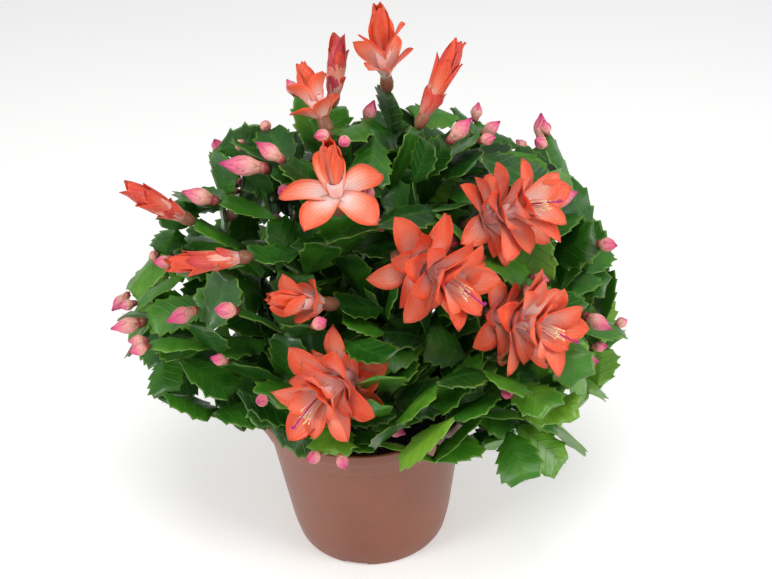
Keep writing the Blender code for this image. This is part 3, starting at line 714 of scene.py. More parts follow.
TIERS = {                       # run, petals, turn, leans from and to, length, half width
    "half": ((0.010, 4, 0.0, 30, 62, 0.022, 0.0050),
             (0.020, 3, 0.5, 16, 38, 0.026, 0.0052)),
    "hood": ((0.013, 5, 0.0, 55, 106, 0.031, 0.0062),),
    "open": ((0.011, 5, 0.0, 42, 104, 0.025, 0.0053),
             (0.020, 5, 0.5, 34, 84, 0.028, 0.0060),
             (0.029, 4, 0.2, 16, 60, 0.029, 0.0060)),
}
HEARTS = {                      # the tube: runs that stay, runs that grow with it, its end
    "half": (((0.0, 0.0018), (0.005, 0.0032)), ((0.012, 0.0032), (0.036, 0.0056)), 0.060),
    "hood": (((0.0, 0.0018), (0.005, 0.0033)), ((0.014, 0.0034), (0.036, 0.0066)), 0.060),
    "open": (((0.0, 0.0018), (0.005, 0.0033), (0.011, 0.0030)), ((0.034, 0.0042),), 0.062),
    "closed": (((0.0, 0.0018),), ((0.004, 0.0031), (0.012, 0.0046), (0.024, 0.0058),
                                  (0.034, 0.0040)), 0.042),
}


def flower_tiers(kind, length, place, along, normal):
    """Where each petal of an open flower sits: its foot, way out, leans and size."""
    k = length / OPEN_LENGTH
    start = place + along * GAP
    side = along.cross(normal)
    dice = random.Random(int(length * 1000) + int(place.z * 10000))
    found = []
    for tier, (run, count, offset, lean, spread, reach, half) in enumerate(TIERS[kind]):
        for i in range(count):
            a = 2 * math.pi * (i + offset + dice.uniform(-0.12, 0.12)) / count
            out = side * math.cos(a) + normal * math.sin(a)
            foot = start + along * (run * k + dice.uniform(0, 0.0015)) + out * 0.0016
            first = math.radians(lean + dice.uniform(-5, 5))
            final = math.radians(spread + dice.uniform(-12, 12))
            found.append((foot, out, first, final, reach * k * dice.uniform(0.92, 1.06),
                          half, tier))
    return found


def flower_bodies(kind, length, place, along, normal):
    """The plain solids that keep other growth clear of a flower."""
    closed = kind == "closed"
    k = length / (CLOSED_LENGTH if closed else OPEN_LENGTH)
    fixed, growing, end = HEARTS[kind]
    shape = fixed + tuple((run * k, radius) for run, radius in growing)
    bodies = [spindle(place + along * GAP, along, normal, shape, 6 if closed else 5,
                      end * k)]
    if not closed:
        for foot, out, first, final, reach, half, _ in flower_tiers(kind, length, place,
                                                                    along, normal):
            bodies.append(petal(foot, along, out, first, final, reach, half, 0.30))
    return bodies


def bud_body(joint, slot, length, lean, inset):
    """A bud on a segment's tip, leaning a little to its own side."""
    place = joint.place + joint.side * (slot * SLOT * joint.wide) + joint.along * inset
    along = (joint.along + joint.side * lean[0] + joint.normal * lean[1]).normalized()
    normal = square_to(along, joint.normal)
    thick = 0.0016 + 0.135 * length
    base = round_ring(place, joint.along, joint.normal, 0.0016, 4)
    wide = round_ring(place + along * (0.45 * length - inset), along, normal, thick, 4)
    return loft([base, wide], place + along * (length - inset))


class Garden:
    """Keeps what has grown so far, so that nothing new grows through it."""

    def __init__(self):
        self.trees = []
        self.middles = []
        self.radii = []
        self.joints = []
        self.chains = []
        self.dice = random.Random(SEED)

    def add(self, corners, faces):
        """Remember a solid and return its number."""
        middle = sum(corners, Vector()) / len(corners)
        self.trees.append(BVHTree.FromPolygons(corners, faces))
        self.middles.append(middle)
        self.radii.append(max((corner - middle).length for corner in corners))
        return len(self.trees) - 1

    def drop_last(self):
        """Forget the solid that was added last."""
        self.trees.pop()
        self.middles.pop()
        self.radii.pop()

    def touches(self, corners, faces, skip):
        """True when a new solid would cut one that is already there."""
        middle = sum(corners, Vector()) / len(corners)
        radius = max((corner - middle).length for corner in corners)
        tree = None
        for number, other in enumerate(self.middles):
            if number in skip or (other - middle).length > radius + self.radii[number]:
                continue
            tree = tree or BVHTree.FromPolygons(corners, faces)
            if tree.overlap(self.trees[number]):
                return True
        return False

    def facing(self, place, along, roll):
        """Upper side of a segment: up and a little inward, then rolled about its length."""
        outward = Vector((place.x, place.y - 0.01, 0.0))
        if outward.length > 1e-4:
            outward.normalize()
        else:
            outward = Vector((0, -1, 0))
        normal = square_to(along, Vector((0, 0, 1)) - outward * 0.3)
        return Quaternion(along, roll) @ normal

    def plan(self, joint, slot, target, aim, exact):
        """One try at a chain from a joint to a place."""
        dice = self.dice
        if slot:
            lean = slot * dice.uniform(0.7, 1.3)
            pitch = dice.uniform(-0.6, 0.6)
        else:
            lean, pitch = dice.uniform(-0.2, 0.2), dice.uniform(-0.2, 0.2)
        start = joint.place + joint.side * (slot * SLOT * joint.wide)
        leave = (joint.along + joint.side * lean + joint.normal * pitch).normalized()
        arrive = aim
        if not exact:
            shake = Vector([dice.gauss(0, 1) for _ in range(3)])
            target = target + shake * 0.006
            arrive = (aim + Vector([dice.gauss(0, 0.2) for _ in range(3)])).normalized()
        last = dice.uniform(0.025, 0.036) if exact else 0.0
        path = Path(start, leave, target - aim * last, arrive, dice.uniform(0.30, 0.45))
        count = max(1, round(path.length / SEGMENT))
        step = path.length / count
        if not exact:
            step = min(step, dice.uniform(0.030, 0.037))
        if not SHORTEST <= step <= LONGEST or count > 4:
            return None
        ends = [path.at((i + 1) * step) for i in range(count)]
        if exact:
            ends.append(target)
        roll = dice.gauss(0, 0.38)
        base, tips, lengths = joint, [], []
        chain = Chain(joint, slot, tips, lengths)
        for i, end in enumerate(ends):
            begin = base.place if i else start
            along = (end - begin).normalized()
            if along.dot(base.along) < 0.42:
                return None
            wish = self.facing((begin + end) / 2, along, roll + dice.gauss(0, 0.22))
            normal = twisted(base.normal, along, wish, 0.7)
            reach = (end - begin).length
            wide = dice.uniform(0.86, 1.10) * (0.72 + 0.28 * reach / SEGMENT)
            tip = Joint(end, along, normal, wide, chain, (-1, 1))
            tips.append(tip)
            lengths.append(reach)
            base = tip
        return chain

    def fits(self, chain, friends):
        """True when none of a chain's segments cuts anything else."""
        for i in range(chain.count):
            tight = loft(chain.rings(i))
            if folded(*tight):
                return False
            own = set(friends) if i == chain.count - 1 else set()
            if i == 0:
                own.add(chain.joint.solid)
            if self.touches(*loft(chain.rings(i, swell=0.0006)), skip=own):
                return False
            if i == 0 and self.touches(*loft(chain.rings(i, inset=-BITE)), skip=own):
                return False
            others = set(range(len(self.trees))) - own
            if own and self.touches(*tight, skip=others):
                return False
            if i or chain.joint.chain is not None:
                for corner in tight[0]:
                    if (corner.z < POT_TOP_CLEAR
                            and math.hypot(corner.x, corner.y) < POT_SIDE_CLEAR):
                        return False
        return True

    def place(self, chain, free=(-1, 0, 1)):
        """Keep a chain, and open its tips for more to grow from."""
        if chain.joint.free:
            chain.joint.free.remove(chain.slot)
        if chain.joint.chain is not None:
            chain.joint.chain.branches.append(chain)
        self.chains.append(chain)
        for i, tip in enumerate(chain.tips):
            tip.solid = self.add(*loft(chain.rings(i, inset=-BITE)))
            self.joints.append(tip)
        chain.tips[-1].free = list(free)
        return chain.tips[-1]

    def grow(self, target, aim, exact=False, friends=(), free=(-1, 0, 1), reach=0.13):
        """Grow a chain to a place from the best joint that can carry it."""
        options = []
        for number, joint in enumerate(self.joints):
            away = target - joint.place
            bend = joint.along.angle(away, 0.0)
            if not joint.free or not SHORTEST < away.length < reach or bend > 1.25:
                continue
            turn = joint.along.angle(aim, 0.0)
            cost = away.length + 0.022 * bend + 0.006 * turn - 0.004 * len(joint.free)
            options.append((cost, number))
        options.sort()
        for _, number in options[:20 if exact else 8]:
            joint = self.joints[number]
            for _ in range(24 if exact else 10):
                slot = self.dice.choice(joint.free)
                chain = self.plan(joint, slot, target, aim, exact)
                if chain and self.fits(chain, friends):
                    return self.place(chain, free)
        return None

    def total(self):
        """Number of segments so far."""
        return sum(chain.count for chain in self.chains)


def inside_crown(place, share):
    """True when a place is inside the crown and above its lower edge."""
    offset = place - CROWN_MIDDLE
    scaled = Vector([offset[i] / (CROWN_RADII[i] * share) for i in range(3)])
    return scaled.length < 1.0 and place.z > lower_edge(place)


def lower_edge(place):
    """Height of the crown's lower edge: it hangs lowest on the right and in front."""
    turn = math.atan2(place.y, place.x)
    hang = 0.5 + 0.5 * math.cos(turn + math.radians(40))
    return 0.138 - 0.046 * hang


def crown_points(count, share, dice):
    """Evenly spread places on the crown at a share of its size."""
    found = []
    for i in range(count):
        z = 1.0 - 1.45 * (i + 0.5) / count
        ring = math.sqrt(max(0.0, 1.0 - z * z))
        a = i * GOLDEN_TURN + 0.6
        spot = Vector((ring * math.cos(a), ring * math.sin(a), z))
        place = CROWN_MIDDLE + Vector([spot[k] * CROWN_RADII[k] * share
                                       for k in range(3)])
        if place.z > lower_edge(place):
            found.append(place)
    dice.shuffle(found)
    return found


def crown_aim(place):
    """Way a tip points at a place: out from the middle, drooping low down."""
    aim = place - Vector((0.0, 0.008, 0.118))
    aim.normalize()
    return (aim + Vector((0, 0, -0.45 * (1.0 - max(0.0, aim.z))))).normalized()


def plant_garden():
    """Grow the whole plant and return the garden and the tips that carry big buds."""
    garden = Garden()
    pot = loft([round_ring(Vector((0, 0, z)), Vector((0, 0, 1)), Vector((0, 1, 0)), r, 24)
                for r, z in ((0.046, 0.0), (0.0655, 0.0945), (0.0665, 0.1035),
                             (0.0610, 0.1035), (0.0570, 0.0850), (0.0440, 0.0050))])
    garden.add(*pot)
    flowers = []
    for kind, length, foot, way in FLOWERS:
        place, along = Vector(foot), heading(*way)
        normal = square_to(along, Vector((0, 0, 1)))
        bodies = flower_bodies(kind, length, place, along, normal)
        flowers.append(([garden.add(*body) for body in bodies], place, along))
    for turn, out, lean in CUTTINGS:
        outward = heading(turn, 0)
        along = Vector((0, 0, 1)) + outward * math.tan(math.radians(lean * 0.5))
        along.normalize()
        root = Joint(outward * out + Vector((0, 0, POCKET_FLOOR)), along,
                     square_to(along, -outward), 1.0, None, (0,))
        root.solid = 0
        target = root.place + heading(turn, 90 - lean) * 0.066
        aim = heading(turn, 90 - lean * 1.6)
        for _ in range(40):
            chain = garden.plan(root, 0, target, aim, False)
            if chain and chain.count == 2 and garden.fits(chain, ()):
                garden.place(chain)
                break
    for place in crown_points(9, 0.42, garden.dice):
        garden.grow(place, crown_aim(place))
    for numbers, place, along in sorted(flowers, key=lambda flower: flower[1].z):
        garden.grow(place, along, True, numbers, (), 0.17)
    ends = []
    for length, foot, way in BIG_BUDS:
        place, along = Vector(foot), heading(*way)
        shape = ((0.0005, 0.0015), (0.45 * length, 0.0016 + 0.135 * length))
        for attempt in range(8):
            shake = Vector([garden.dice.uniform(-1, 1) for _ in range(3)])
            spot = place + shake * (0.0015 * attempt)
            normal = square_to(along, Vector((0, 0, 1)))
            body = spindle(spot, along, normal, shape, 4, length)
            if garden.touches(*body, skip=()):
                continue
            number = garden.add(*body)
            joint = garden.grow(spot, along, True, (number,), (-1, 1), 0.15)
            if joint:
                ends.append((joint, length))
                break
            garden.drop_last()
    for place in crown_points(16, 0.56, garden.dice):
        garden.grow(place, crown_aim(place))
    for turn, reach, height in EDGE_TIPS:
        place = heading(turn, 0) * reach + Vector((0, 0, height))
        garden.grow(place, crown_aim(place))
    for count, share in ((40, 0.74), (120, 0.95), (60, 0.80), (160, 0.93)):
        for place in crown_points(count, share, garden.dice):
            near = min((joint.place - place).length for joint in garden.joints)
            if near > 0.015 and garden.total() < SEGMENTS_WANTED:
                garden.grow(place, crown_aim(place))
    for _ in range(2600):
        if garden.total() >= SEGMENTS_WANTED:
            break
        joint = garden.dice.choice(garden.joints)
        way = (joint.along * 0.5 + crown_aim(joint.place) * 0.6
               + Vector([garden.dice.gauss(0, 0.35) for _ in range(3)])).normalized()
        place = joint.place + way * 0.034
        if joint.free and inside_crown(place, 1.0):
            garden.grow(place, way, reach=0.042)
    return garden, ends


def set_buds(garden, ends):
    """Choose the free tips that carry buds, and how each bud sits."""
    dice = garden.dice
    for joint, length in ends:
        joint.chain.buds.append((joint, 0, length, (0.0, 0.0)))
    for joint in list(garden.joints):
        if len(joint.free) < 3 and not (len(joint.free) == 2 and dice.random() < 0.10):
            continue
        pattern = dice.choice(((0,), (0,), (-1, 1), (-1, 1), (1,), ()))
        low = joint.place.z < 0.12
        for slot in pattern:
            if slot not in joint.free or (low and dice.random() < 0.5):
                continue
            length = dice.choice((0.009, 0.010, 0.011, 0.012, 0.014, 0.018))
            lean = (slot * dice.uniform(0.25, 0.6), dice.uniform(-0.35, 0.35))
            body = bud_body(joint, slot, length, lean, -BITE)
            if folded(*body) or garden.touches(*body, skip={joint.solid}):
                continue
            garden.add(*body)
            joint.free.remove(slot)
            joint.chain.buds.append((joint, slot, length, lean))


def share_out(garden):
    """Sort the chains into shoots: each is a chain and the small ones left on it."""
    def gather(chain, limit, cuts):
        """Cut a shoot off where enough segments hang on a chain."""
        kept = [chain]
        for branch in chain.branches:
            kept += gather(branch, limit, cuts)
        size = sum(part.count for part in kept)
        if size >= limit or chain.joint.chain is None:
            cuts.append(kept)
            return []
        return kept

    for limit in range(3, 12):
        cuts = []
        for chain in garden.chains:
            if chain.joint.chain is None:
                gather(chain, limit, cuts)
        if len(cuts) <= SHOOTS_ALLOWED:
            return cuts
    return cuts


garden, ends = plant_garden()
set_buds(garden, ends)
shoots = share_out(garden)

# Young segments low round the front and deep in the crown, finer than the part's solids
# go. They grow by the same rules, and each belongs to the shoot that it grows on.
YOUNG_TIPS = 700                # places tried low round the front, and again in the crown
YOUNG_TURNS = (258, 352)        # from the front round to the right, in degrees
YOUNG_ROOM = 0.015              # at least this far from the nearest tip
shoot_of = {chain: chains for chains in shoots for chain in chains}
garden.dice = random.Random(9)


def low_place(dice):
    """A place for a young tip under the crown's edge, lower towards the right."""
    turn = dice.uniform(*YOUNG_TURNS)
    hang = min(1.0, (turn - YOUNG_TURNS[0]) / 60)
    place = heading(turn, 0) * dice.uniform(0.060, 0.084 + 0.042 * hang)
    place.z = dice.uniform(0.128 - 0.036 * hang, 0.175)
    return place


def deep_place(dice):
    """A place for a young tip inside the crown."""
    way = Vector([dice.gauss(0, 1) for _ in range(3)]).normalized()
    way = way * dice.uniform(0.35, 0.85)
    return CROWN_MIDDLE + Vector([way[i] * CROWN_RADII[i] for i in range(3)])


for attempt in range(2 * YOUNG_TIPS):
    place = (low_place if attempt < YOUNG_TIPS else deep_place)(garden.dice)
    if not all(cad_box[0][i] < place[i] < cad_box[1][i] for i in (0, 1)):
        continue
    near = min((joint.place - place).length for joint in garden.joints)
    if place.z < lower_edge(place) - 0.03 or near < YOUNG_ROOM:
        continue
    known = set(garden.chains)
    if garden.grow(place, crown_aim(place), reach=0.075):
        for chain in set(garden.chains) - known:
            shoot_of[chain] = shoot_of[chain.joint.chain]
            shoot_of[chain].append(chain)


# ---------------------------------------------------------------- the stem segments
# Flat fleshy stem segments, about 20 to 40 mm long, each grown from the blunt tip of the one
# before. They have a raised midrib, toothed edges and small bristles at their tips.
BLADE_COLUMNS = (-1.0, -0.87, -0.5, -0.15, 0.0, 0.15, 0.5, 0.87, 1.0)
TOOTHED = (                     # share of length and of half width, down one edge
    ((0.00, 0.17), (0.09, 0.31), (0.20, 0.57), (0.31, 0.90), (0.335, 0.77), (0.44, 0.89),
     (0.56, 1.12), (0.585, 0.93), (0.68, 0.97), (0.80, 1.16), (0.825, 0.92), (0.92, 0.84),
     (1.00, 0.70)),
    ((0.00, 0.17), (0.08, 0.28), (0.18, 0.52), (0.28, 0.72), (0.40, 1.03), (0.425, 0.86),
     (0.52, 0.92), (0.61, 0.98), (0.72, 1.17), (0.745, 0.95), (0.84, 0.93), (0.93, 0.81),
     (1.00, 0.68)),
    ((0.00, 0.17), (0.07, 0.26), (0.15, 0.48), (0.25, 0.85), (0.275, 0.71), (0.37, 0.86),
     (0.48, 1.09), (0.505, 0.91), (0.67, 1.15), (0.695, 0.96), (0.86, 1.10), (0.885, 0.86),
     (1.00, 0.72)),
)
ROWS = len(TOOTHED[0]) - 1
NECK = 0.17                     # half width where a segment starts
SINK = 0.0012                   # how far a segment starts inside the one before
TIP_HOLLOW = 0.965              # where the blunt tip ends on the midrib
WOODY, BRISTLE = 1.6, 2.6       # tones that pick out old wood and bristles


def numbered(work, *names):
    """Layers for the numbers that a mesh carries for its finish."""
    return [work.verts.layers.float.get(name) or work.verts.layers.float.new(name)
            for name in names]


def thin_grid(columns, rows):
    """Closed thin sheet to copy: x from -1 to 1, y from 0 to 1, z 0 on top or -1."""
    work = bmesh.new()
    bmesh.ops.create_grid(work, x_segments=columns, y_segments=rows, size=1.0)
    for vert in work.verts:
        vert.co.y = vert.co.y * 0.5 + 0.5
    fresh = bmesh.ops.extrude_face_region(work, geom=list(work.faces))["geom"]
    low = [part for part in fresh if isinstance(part, bmesh.types.BMVert)]
    bmesh.ops.translate(work, vec=(0, 0, -1), verts=low)
    bmesh.ops.recalc_face_normals(work, faces=work.faces)
    mesh = bpy.data.meshes.new("sheet")
    work.to_mesh(mesh)
    work.free()
    return mesh


def laid(work, template):
    """Copy of a template in a mesh; returns its new points."""
    for vert in work.verts:
        vert.tag = True
    work.from_mesh(template)
    return [vert for vert in work.verts if not vert.tag]


def between(values, place):
    """Value at a place from 0 to 1 along evenly spaced values."""
    spot = min(max(place, 0.0), 1.0) * (len(values) - 1)
    i = min(int(spot), len(values) - 2)
    return values[i] + (values[i + 1] - values[i]) * (spot - i)


blade_template = thin_grid(len(BLADE_COLUMNS) - 1, ROWS)
leaf_dice = random.Random(31)


def segment(work, base, slot, tip, length, woody):
    """One stem segment, from the tip that carries it to its own tip."""
    across_of, along_of, tone_of = numbered(work, "across", "along", "tone")
    half = OUTLINE[2][1] * tip.wide
    start = base.place + base.side * (slot * SLOT * base.wide) - tip.along * SINK
    length += SINK
    edges = []
    for side in (-1, 1):
        line = []
        for y, x in leaf_dice.choice(TOOTHED):
            near = min(1.0, y * 3)
            y += leaf_dice.uniform(-0.012, 0.012) * near * (y < 1.0)
            line.append((y, x * leaf_dice.uniform(0.965, 1.035)))
        edges.append(line)
    if woody:
        edges = [[(y, NECK + (x - NECK) * 0.55) for y, x in line] for line in edges]
    arch = leaf_dice.uniform(0.0002, 0.0022)
    droop = leaf_dice.uniform(0.0006, 0.0022)
    wave = leaf_dice.uniform(0, 6.28)
    ripple = leaf_dice.uniform(0.0002, 0.0008)
    # Segments further out and lower down are lighter and yellower: partly their younger
    # colour, partly painted light where the side lamps reach them. The random spread is each
    # segment's own tone.
    outer = min(1.0, max(0.0, (math.hypot(tip.place.x, tip.place.y) - 0.05) / 0.09))
    low = min(1.0, max(0.0, (0.19 - tip.place.z) / 0.07))
    tone = leaf_dice.gauss(0.38, 0.14) + 0.36 * outer * low + 0.10 * outer
    tone = WOODY if woody else min(1.0, max(0.0, tone))
    for vert in laid(work, blade_template):
        column = round((vert.co.x + 1) / 2 * (len(BLADE_COLUMNS) - 1))
        row = round(vert.co.y * ROWS)
        under = vert.co.z < -0.5
        t = BLADE_COLUMNS[column]
        y, x = edges[t > 0][row]
        middle = (edges[0][row][0] + edges[1][row][0]) / 2
        dip = 0.075 * math.sin(min(1.0, middle) * 2.2)
        middle = max(0.0, min(middle * (TIP_HOLLOW + 0.03) - dip, TIP_HOLLOW))
        if row == ROWS:
            middle = TIP_HOLLOW
        away = abs(t)
        run = middle + (y - middle) * away ** 1.25
        thick = 0.00125 * (1 - away ** 2.5) + 0.00035
        rib = 0.00055 * max(0.0, 1 - (away / 0.22) ** 2) * (1 - 0.6 * run)
        if woody:
            thick *= 1.5
        lift = arch * 4 * run * (1 - run) - droop * away ** 1.6 * min(1.0, run * 3)
        lift += ripple * math.sin(wave + run * 11 + t * 2) * away * min(1.0, run * 3)
        lift += (-thick * 0.5 - rib * 0.7) if under else (thick * 0.5 + rib)
        vert.co = (start + tip.along * (run * length) + tip.side * (t * x * half)
                   + tip.normal * lift)
        vert[across_of] = t
        vert[along_of] = run
        vert[tone_of] = tone


def bristles(work, tip):
    """Short stiff hairs on the growing points of a tip."""
    tone_of = numbered(work, "tone")[0]
    for slot in (-1, 0, 1):
        for _ in range(2):
            aside = (slot + leaf_dice.uniform(-0.35, 0.35)) * SLOT * tip.wide
            root = tip.place + tip.side * aside - tip.along * SINK
            way = (tip.along + tip.side * leaf_dice.uniform(-0.9, 0.9)
                   + tip.normal * leaf_dice.uniform(-0.7, 0.7)).normalized()
            made = bmesh.ops.create_cone(work, cap_ends=True, segments=3, radius1=0.00013,
                                         radius2=0.00003, depth=0.0022)["verts"]
            bmesh.ops.translate(work, verts=made, vec=(0, 0, 0.0011))
            bmesh.ops.rotate(work, verts=made, cent=(0, 0, 0),
                             matrix=way.to_track_quat("Z", "Y").to_matrix())
            bmesh.ops.translate(work, verts=made, vec=root)
            for vert in made:
                vert[tone_of] = BRISTLE


leaf_green, shader, start = new_finish("segment_green", Coat_Weight=0.22,
                                       Coat_Roughness=0.20, Specular_IOR_Level=0.38)
across = abs(start.drawn("across"))
along = start.drawn("along")
tone = start.drawn("tone")
mottle = start.grain(75.0, 4.0)
fine = start.grain(520.0, 3.0)
shade = tone + (mottle - 0.5) * 0.55
colour = start.node("ValToRGB", {"stops": (
    (0.0, (0.003, 0.024, 0.002)), (0.33, (0.010, 0.078, 0.004)),
    (0.64, (0.042, 0.185, 0.009)), (1.0, (0.170, 0.360, 0.026)))}, {0: shade})
colour = (0.55 * across.ease(0.82, 1.0)).blend(colour, (0.130, 0.270, 0.022))
rib = 1 - across.ease(0.04, 0.20)
colour = (0.30 * rib).blend(colour, (0.045, 0.150, 0.018))
slanted = along * 34.0 - across * 9.0
vein = (start.sum("SINE", slanted) * 0.5 + 0.5).ease(0.86, 1.0)
colour = (0.14 * vein).blend(colour, (0.060, 0.200, 0.022))
colour = (0.6 * (1 - along.ease(0.0, 0.10))).blend(colour, (0.110, 0.200, 0.040))
corky = 0.7 * along.ease(0.985, 1.0) * across.ease(0.2, 0.9)
colour = corky.blend(colour, (0.16, 0.10, 0.035))
old = tone.ease(1.2, 1.5)
bark = mottle.blend((0.075, 0.050, 0.024), (0.17, 0.14, 0.070))
colour = old.blend(colour, bark)
colour = tone.ease(2.2, 2.5).blend(colour, (0.20, 0.115, 0.045))
feed(shader, Base_Color=colour, Roughness=0.30 + 0.22 * mottle + 0.3 * old,
     Height=0.00010 * fine + 0.0007 * mottle + 0.00015 * vein)

for number, chains in enumerate(shoots):
    name = "shoot_%02d" % (number + 1)
    work = bmesh.new()
    for chain in chains:
        for i, tip in enumerate(chain.tips):
            base = chain.tips[i - 1] if i else chain.joint
            woody = chain.joint.chain is None and i == 0
            segment(work, base, 0 if i else chain.slot, tip, chain.lengths[i], woody)
            bristles(work, tip)
    keep(work, name + "_segments", leaf_green, "stem", name)


# ---------------------------------------------------------------- the small buds
# Flower buds on the segments' tips: a short crimson foot, then overlapping pointed
# scales, cream at the bottom and magenta at the point. Each grows from its tip.
BUD_PROFILE = (                 # how wide it is, at even steps from foot to point
    0.20, 0.50, 0.62, 0.58, 0.72, 0.92, 1.00, 0.97, 0.86, 0.66, 0.40, 0.16, 0.02,
)
BUD_SCALES = (                  # start and length as shares of the bud, how many, turn
    (0.20, 0.34, 4, 0.0), (0.28, 0.50, 4, 0.5), (0.42, 0.56, 3, 0.2),
)
BUD_SINK = 0.0008               # how far its foot starts inside the tip
scale_template = thin_grid(4, 4)
bud_dice = random.Random(77)


def bud(work, place, along, normal, length, thick, tone):
    """A whole bud: its round core and the scales that wrap it."""
    across_of, along_of, tone_of = numbered(work, "across", "along", "tone")
    side = along.cross(normal)
    steps = len(BUD_PROFILE) - 1
    bow = bud_dice.uniform(-0.06, 0.06) * length

    def spot(share, turn, extra):
        """Place on the bud, a little out from its core."""
        radius = thick * between(BUD_PROFILE, share) + extra
        middle = place + along * (share * length) + side * (bow * share * share)
        return (middle + side * (radius * math.cos(turn))
                + normal * (radius * math.sin(turn)))

    core = bmesh.ops.create_uvsphere(work, u_segments=10, v_segments=steps,
                                     radius=1.0)["verts"]
    for vert in core:
        share = math.acos(max(-1.0, min(1.0, -vert.co.z))) / math.pi
        share = round(share * steps) / steps
        vert[along_of] = share
        vert[tone_of] = tone
        vert.co = spot(share, math.atan2(-vert.co.y, vert.co.x), 0.0)
    faces = list({face for vert in core for face in vert.link_faces})
    bmesh.ops.recalc_face_normals(work, faces=faces)
    for begin, reach, count, offset in BUD_SCALES:
        for i in range(count):
            turn = 2 * math.pi * (i + offset + bud_dice.uniform(-0.1, 0.1)) / count
            wide = 1.25 * math.pi / count
            for vert in laid(work, scale_template):
                x, y = vert.co.x, min(1.0, abs(vert.co.y))
                lift = -0.0002
                if vert.co.z > -0.5:
                    lift = 0.00012 + 0.0005 * y * (1 - y * 0.5)
                shape = (1 - y ** 2.2) * (0.8 + 0.4 * y)
                vert[across_of] = x
                vert[along_of] = begin + reach * y
                vert[tone_of] = tone + 0.10 * y
                vert.co = spot(min(begin + reach * y, 0.985), turn - x * wide * shape,
                               lift * (1 - 0.6 * x * x))


bud_pink, shader, start = new_finish("bud_pink", Coat_Weight=0.12, Coat_Roughness=0.30,
                                     Subsurface_Weight=0.12, Subsurface_Scale=0.002)
along = start.drawn("along")
across = abs(start.drawn("across"))
tone = start.drawn("tone")
streak = start.grain(380.0, 3.0)
ripe = along + 0.20 * (tone - 0.5) + 0.10 * (streak - 0.5)
colour = start.node("ValToRGB", {"stops": (
    (0.0, (0.120, 0.050, 0.025)), (0.17, (0.300, 0.040, 0.045)),
    (0.27, (0.640, 0.270, 0.190)), (0.45, (0.780, 0.360, 0.300)),
    (0.70, (0.740, 0.150, 0.230)), (1.0, (0.520, 0.020, 0.170)))}, {0: ripe})
edged = 0.45 * across.ease(0.55, 1.0) * along.ease(0.2, 0.4)
colour = edged.blend(colour, (0.62, 0.050, 0.160))
feed(shader, Base_Color=colour, Roughness=0.34 + 0.2 * streak, Height=0.00008 * streak)

for number, chains in enumerate(shoots):
    name = "shoot_%02d" % (number + 1)
    work = bmesh.new()
    for chain in chains:
        for joint, slot, length, lean in chain.buds:
            place = joint.place + joint.side * (slot * SLOT * joint.wide)
            along = joint.along + joint.side * lean[0] + joint.normal * lean[1]
            along.normalize()
            place -= along * BUD_SINK
            bud(work, place, along, square_to(along, joint.normal), length + BUD_SINK,
                0.0016 + 0.135 * length, bud_dice.uniform(0.1, 0.9))
    if len(work.verts):
        keep(work, name + "_buds", bud_pink, "bud", name)
    else:
        work.free()


# ---------------------------------------------------------------- the open flowers
# Each flower is a pale tube with up to three tiers of pointed petals that bend back. The
# wide open ones show cream stamens round a long magenta style. It grows from a tip.
PETAL_ROWS = 10
PETAL_WIDEST = 0.58             # share of its length where a petal is widest
FOOT_TONE, THROAT_TONE = 3.0, 2.0           # tones of the green foot and magenta throat
STYLE_TONE, HEAD_TONE, THREAD_TONE = 1.6, 0.8, 0.1
FOOT_SINK = 0.0010              # how far a flower's foot starts inside the tip
OPEN_FOOT = (                   # run and radius along the foot
    (0.0, 0.0019), (0.0025, 0.0034), (0.0055, 0.0037), (0.0085, 0.0032), (0.010, 0.0028),
)
MOUTHS = {"open": 0.036, "half": 0.028, "hood": 0.028}
HOODS = {"half": (0.024, 0.031, 0.0050), "hood": (0.022, 0.036, 0.0062)}
HOOD_PETALS = 5
STAMENS = 20
petal_template = thin_grid(6, PETAL_ROWS)
petal_dice = random.Random(404)


def petal_width(share, base):
    """Width of a petal along its length, as a share of its widest."""
    if share < PETAL_WIDEST:
        return base + (1 - base) * math.sin(share / PETAL_WIDEST * math.pi / 2)
    past = (share - PETAL_WIDEST) / (1 - PETAL_WIDEST)
    return max(0.02, 1 - past ** 2.1) ** 0.85


def fine_petal(work, foot, axis, out, start, end, length, half, cup, tone, curl=0.0):
    """One petal that leans from one angle off the axis to another, cupped and rippled."""
    across_of, along_of, tone_of = numbered(work, "across", "along", "tone")
    side = out.cross(axis)
    place, spine = foot.copy(), []
    for k in range(PETAL_ROWS + 1):
        share = k / PETAL_ROWS
        lean = start + (end - start) * min(1.0, share * 1.2)
        lean += curl * max(0.0, share - 0.6)
        if k:
            way = axis * math.cos(lean) + out * math.sin(lean)
            place = place + way * (length / PETAL_ROWS)
        spine.append((place, axis * math.sin(lean) - out * math.cos(lean)))
    phase, twist = petal_dice.uniform(0, 6.28), petal_dice.uniform(-0.35, 0.35)
    ripple = petal_dice.uniform(0.0002, 0.0008)
    for vert in laid(work, petal_template):
        t = vert.co.x
        row = round(vert.co.y * PETAL_ROWS)
        share = row / PETAL_ROWS
        point, inner = spine[row]
        width = half * petal_width(share, 0.42)
        lift = cup * width * t * t
        lift += ripple * math.sin(phase + share * 8 + t * 1.5) * abs(t)
        lift += 0.00035 * max(0.0, 1 - abs(t) * 3) - twist * t * width * share
        thick = 0.00028 * (1 - 0.5 * t * t) * (1 - 0.5 * share)
        lift += -thick if vert.co.z < -0.5 else thick
        vert[across_of] = t
        vert[along_of] = share
        vert[tone_of] = tone
        vert.co = point + side * (t * width) + inner * lift


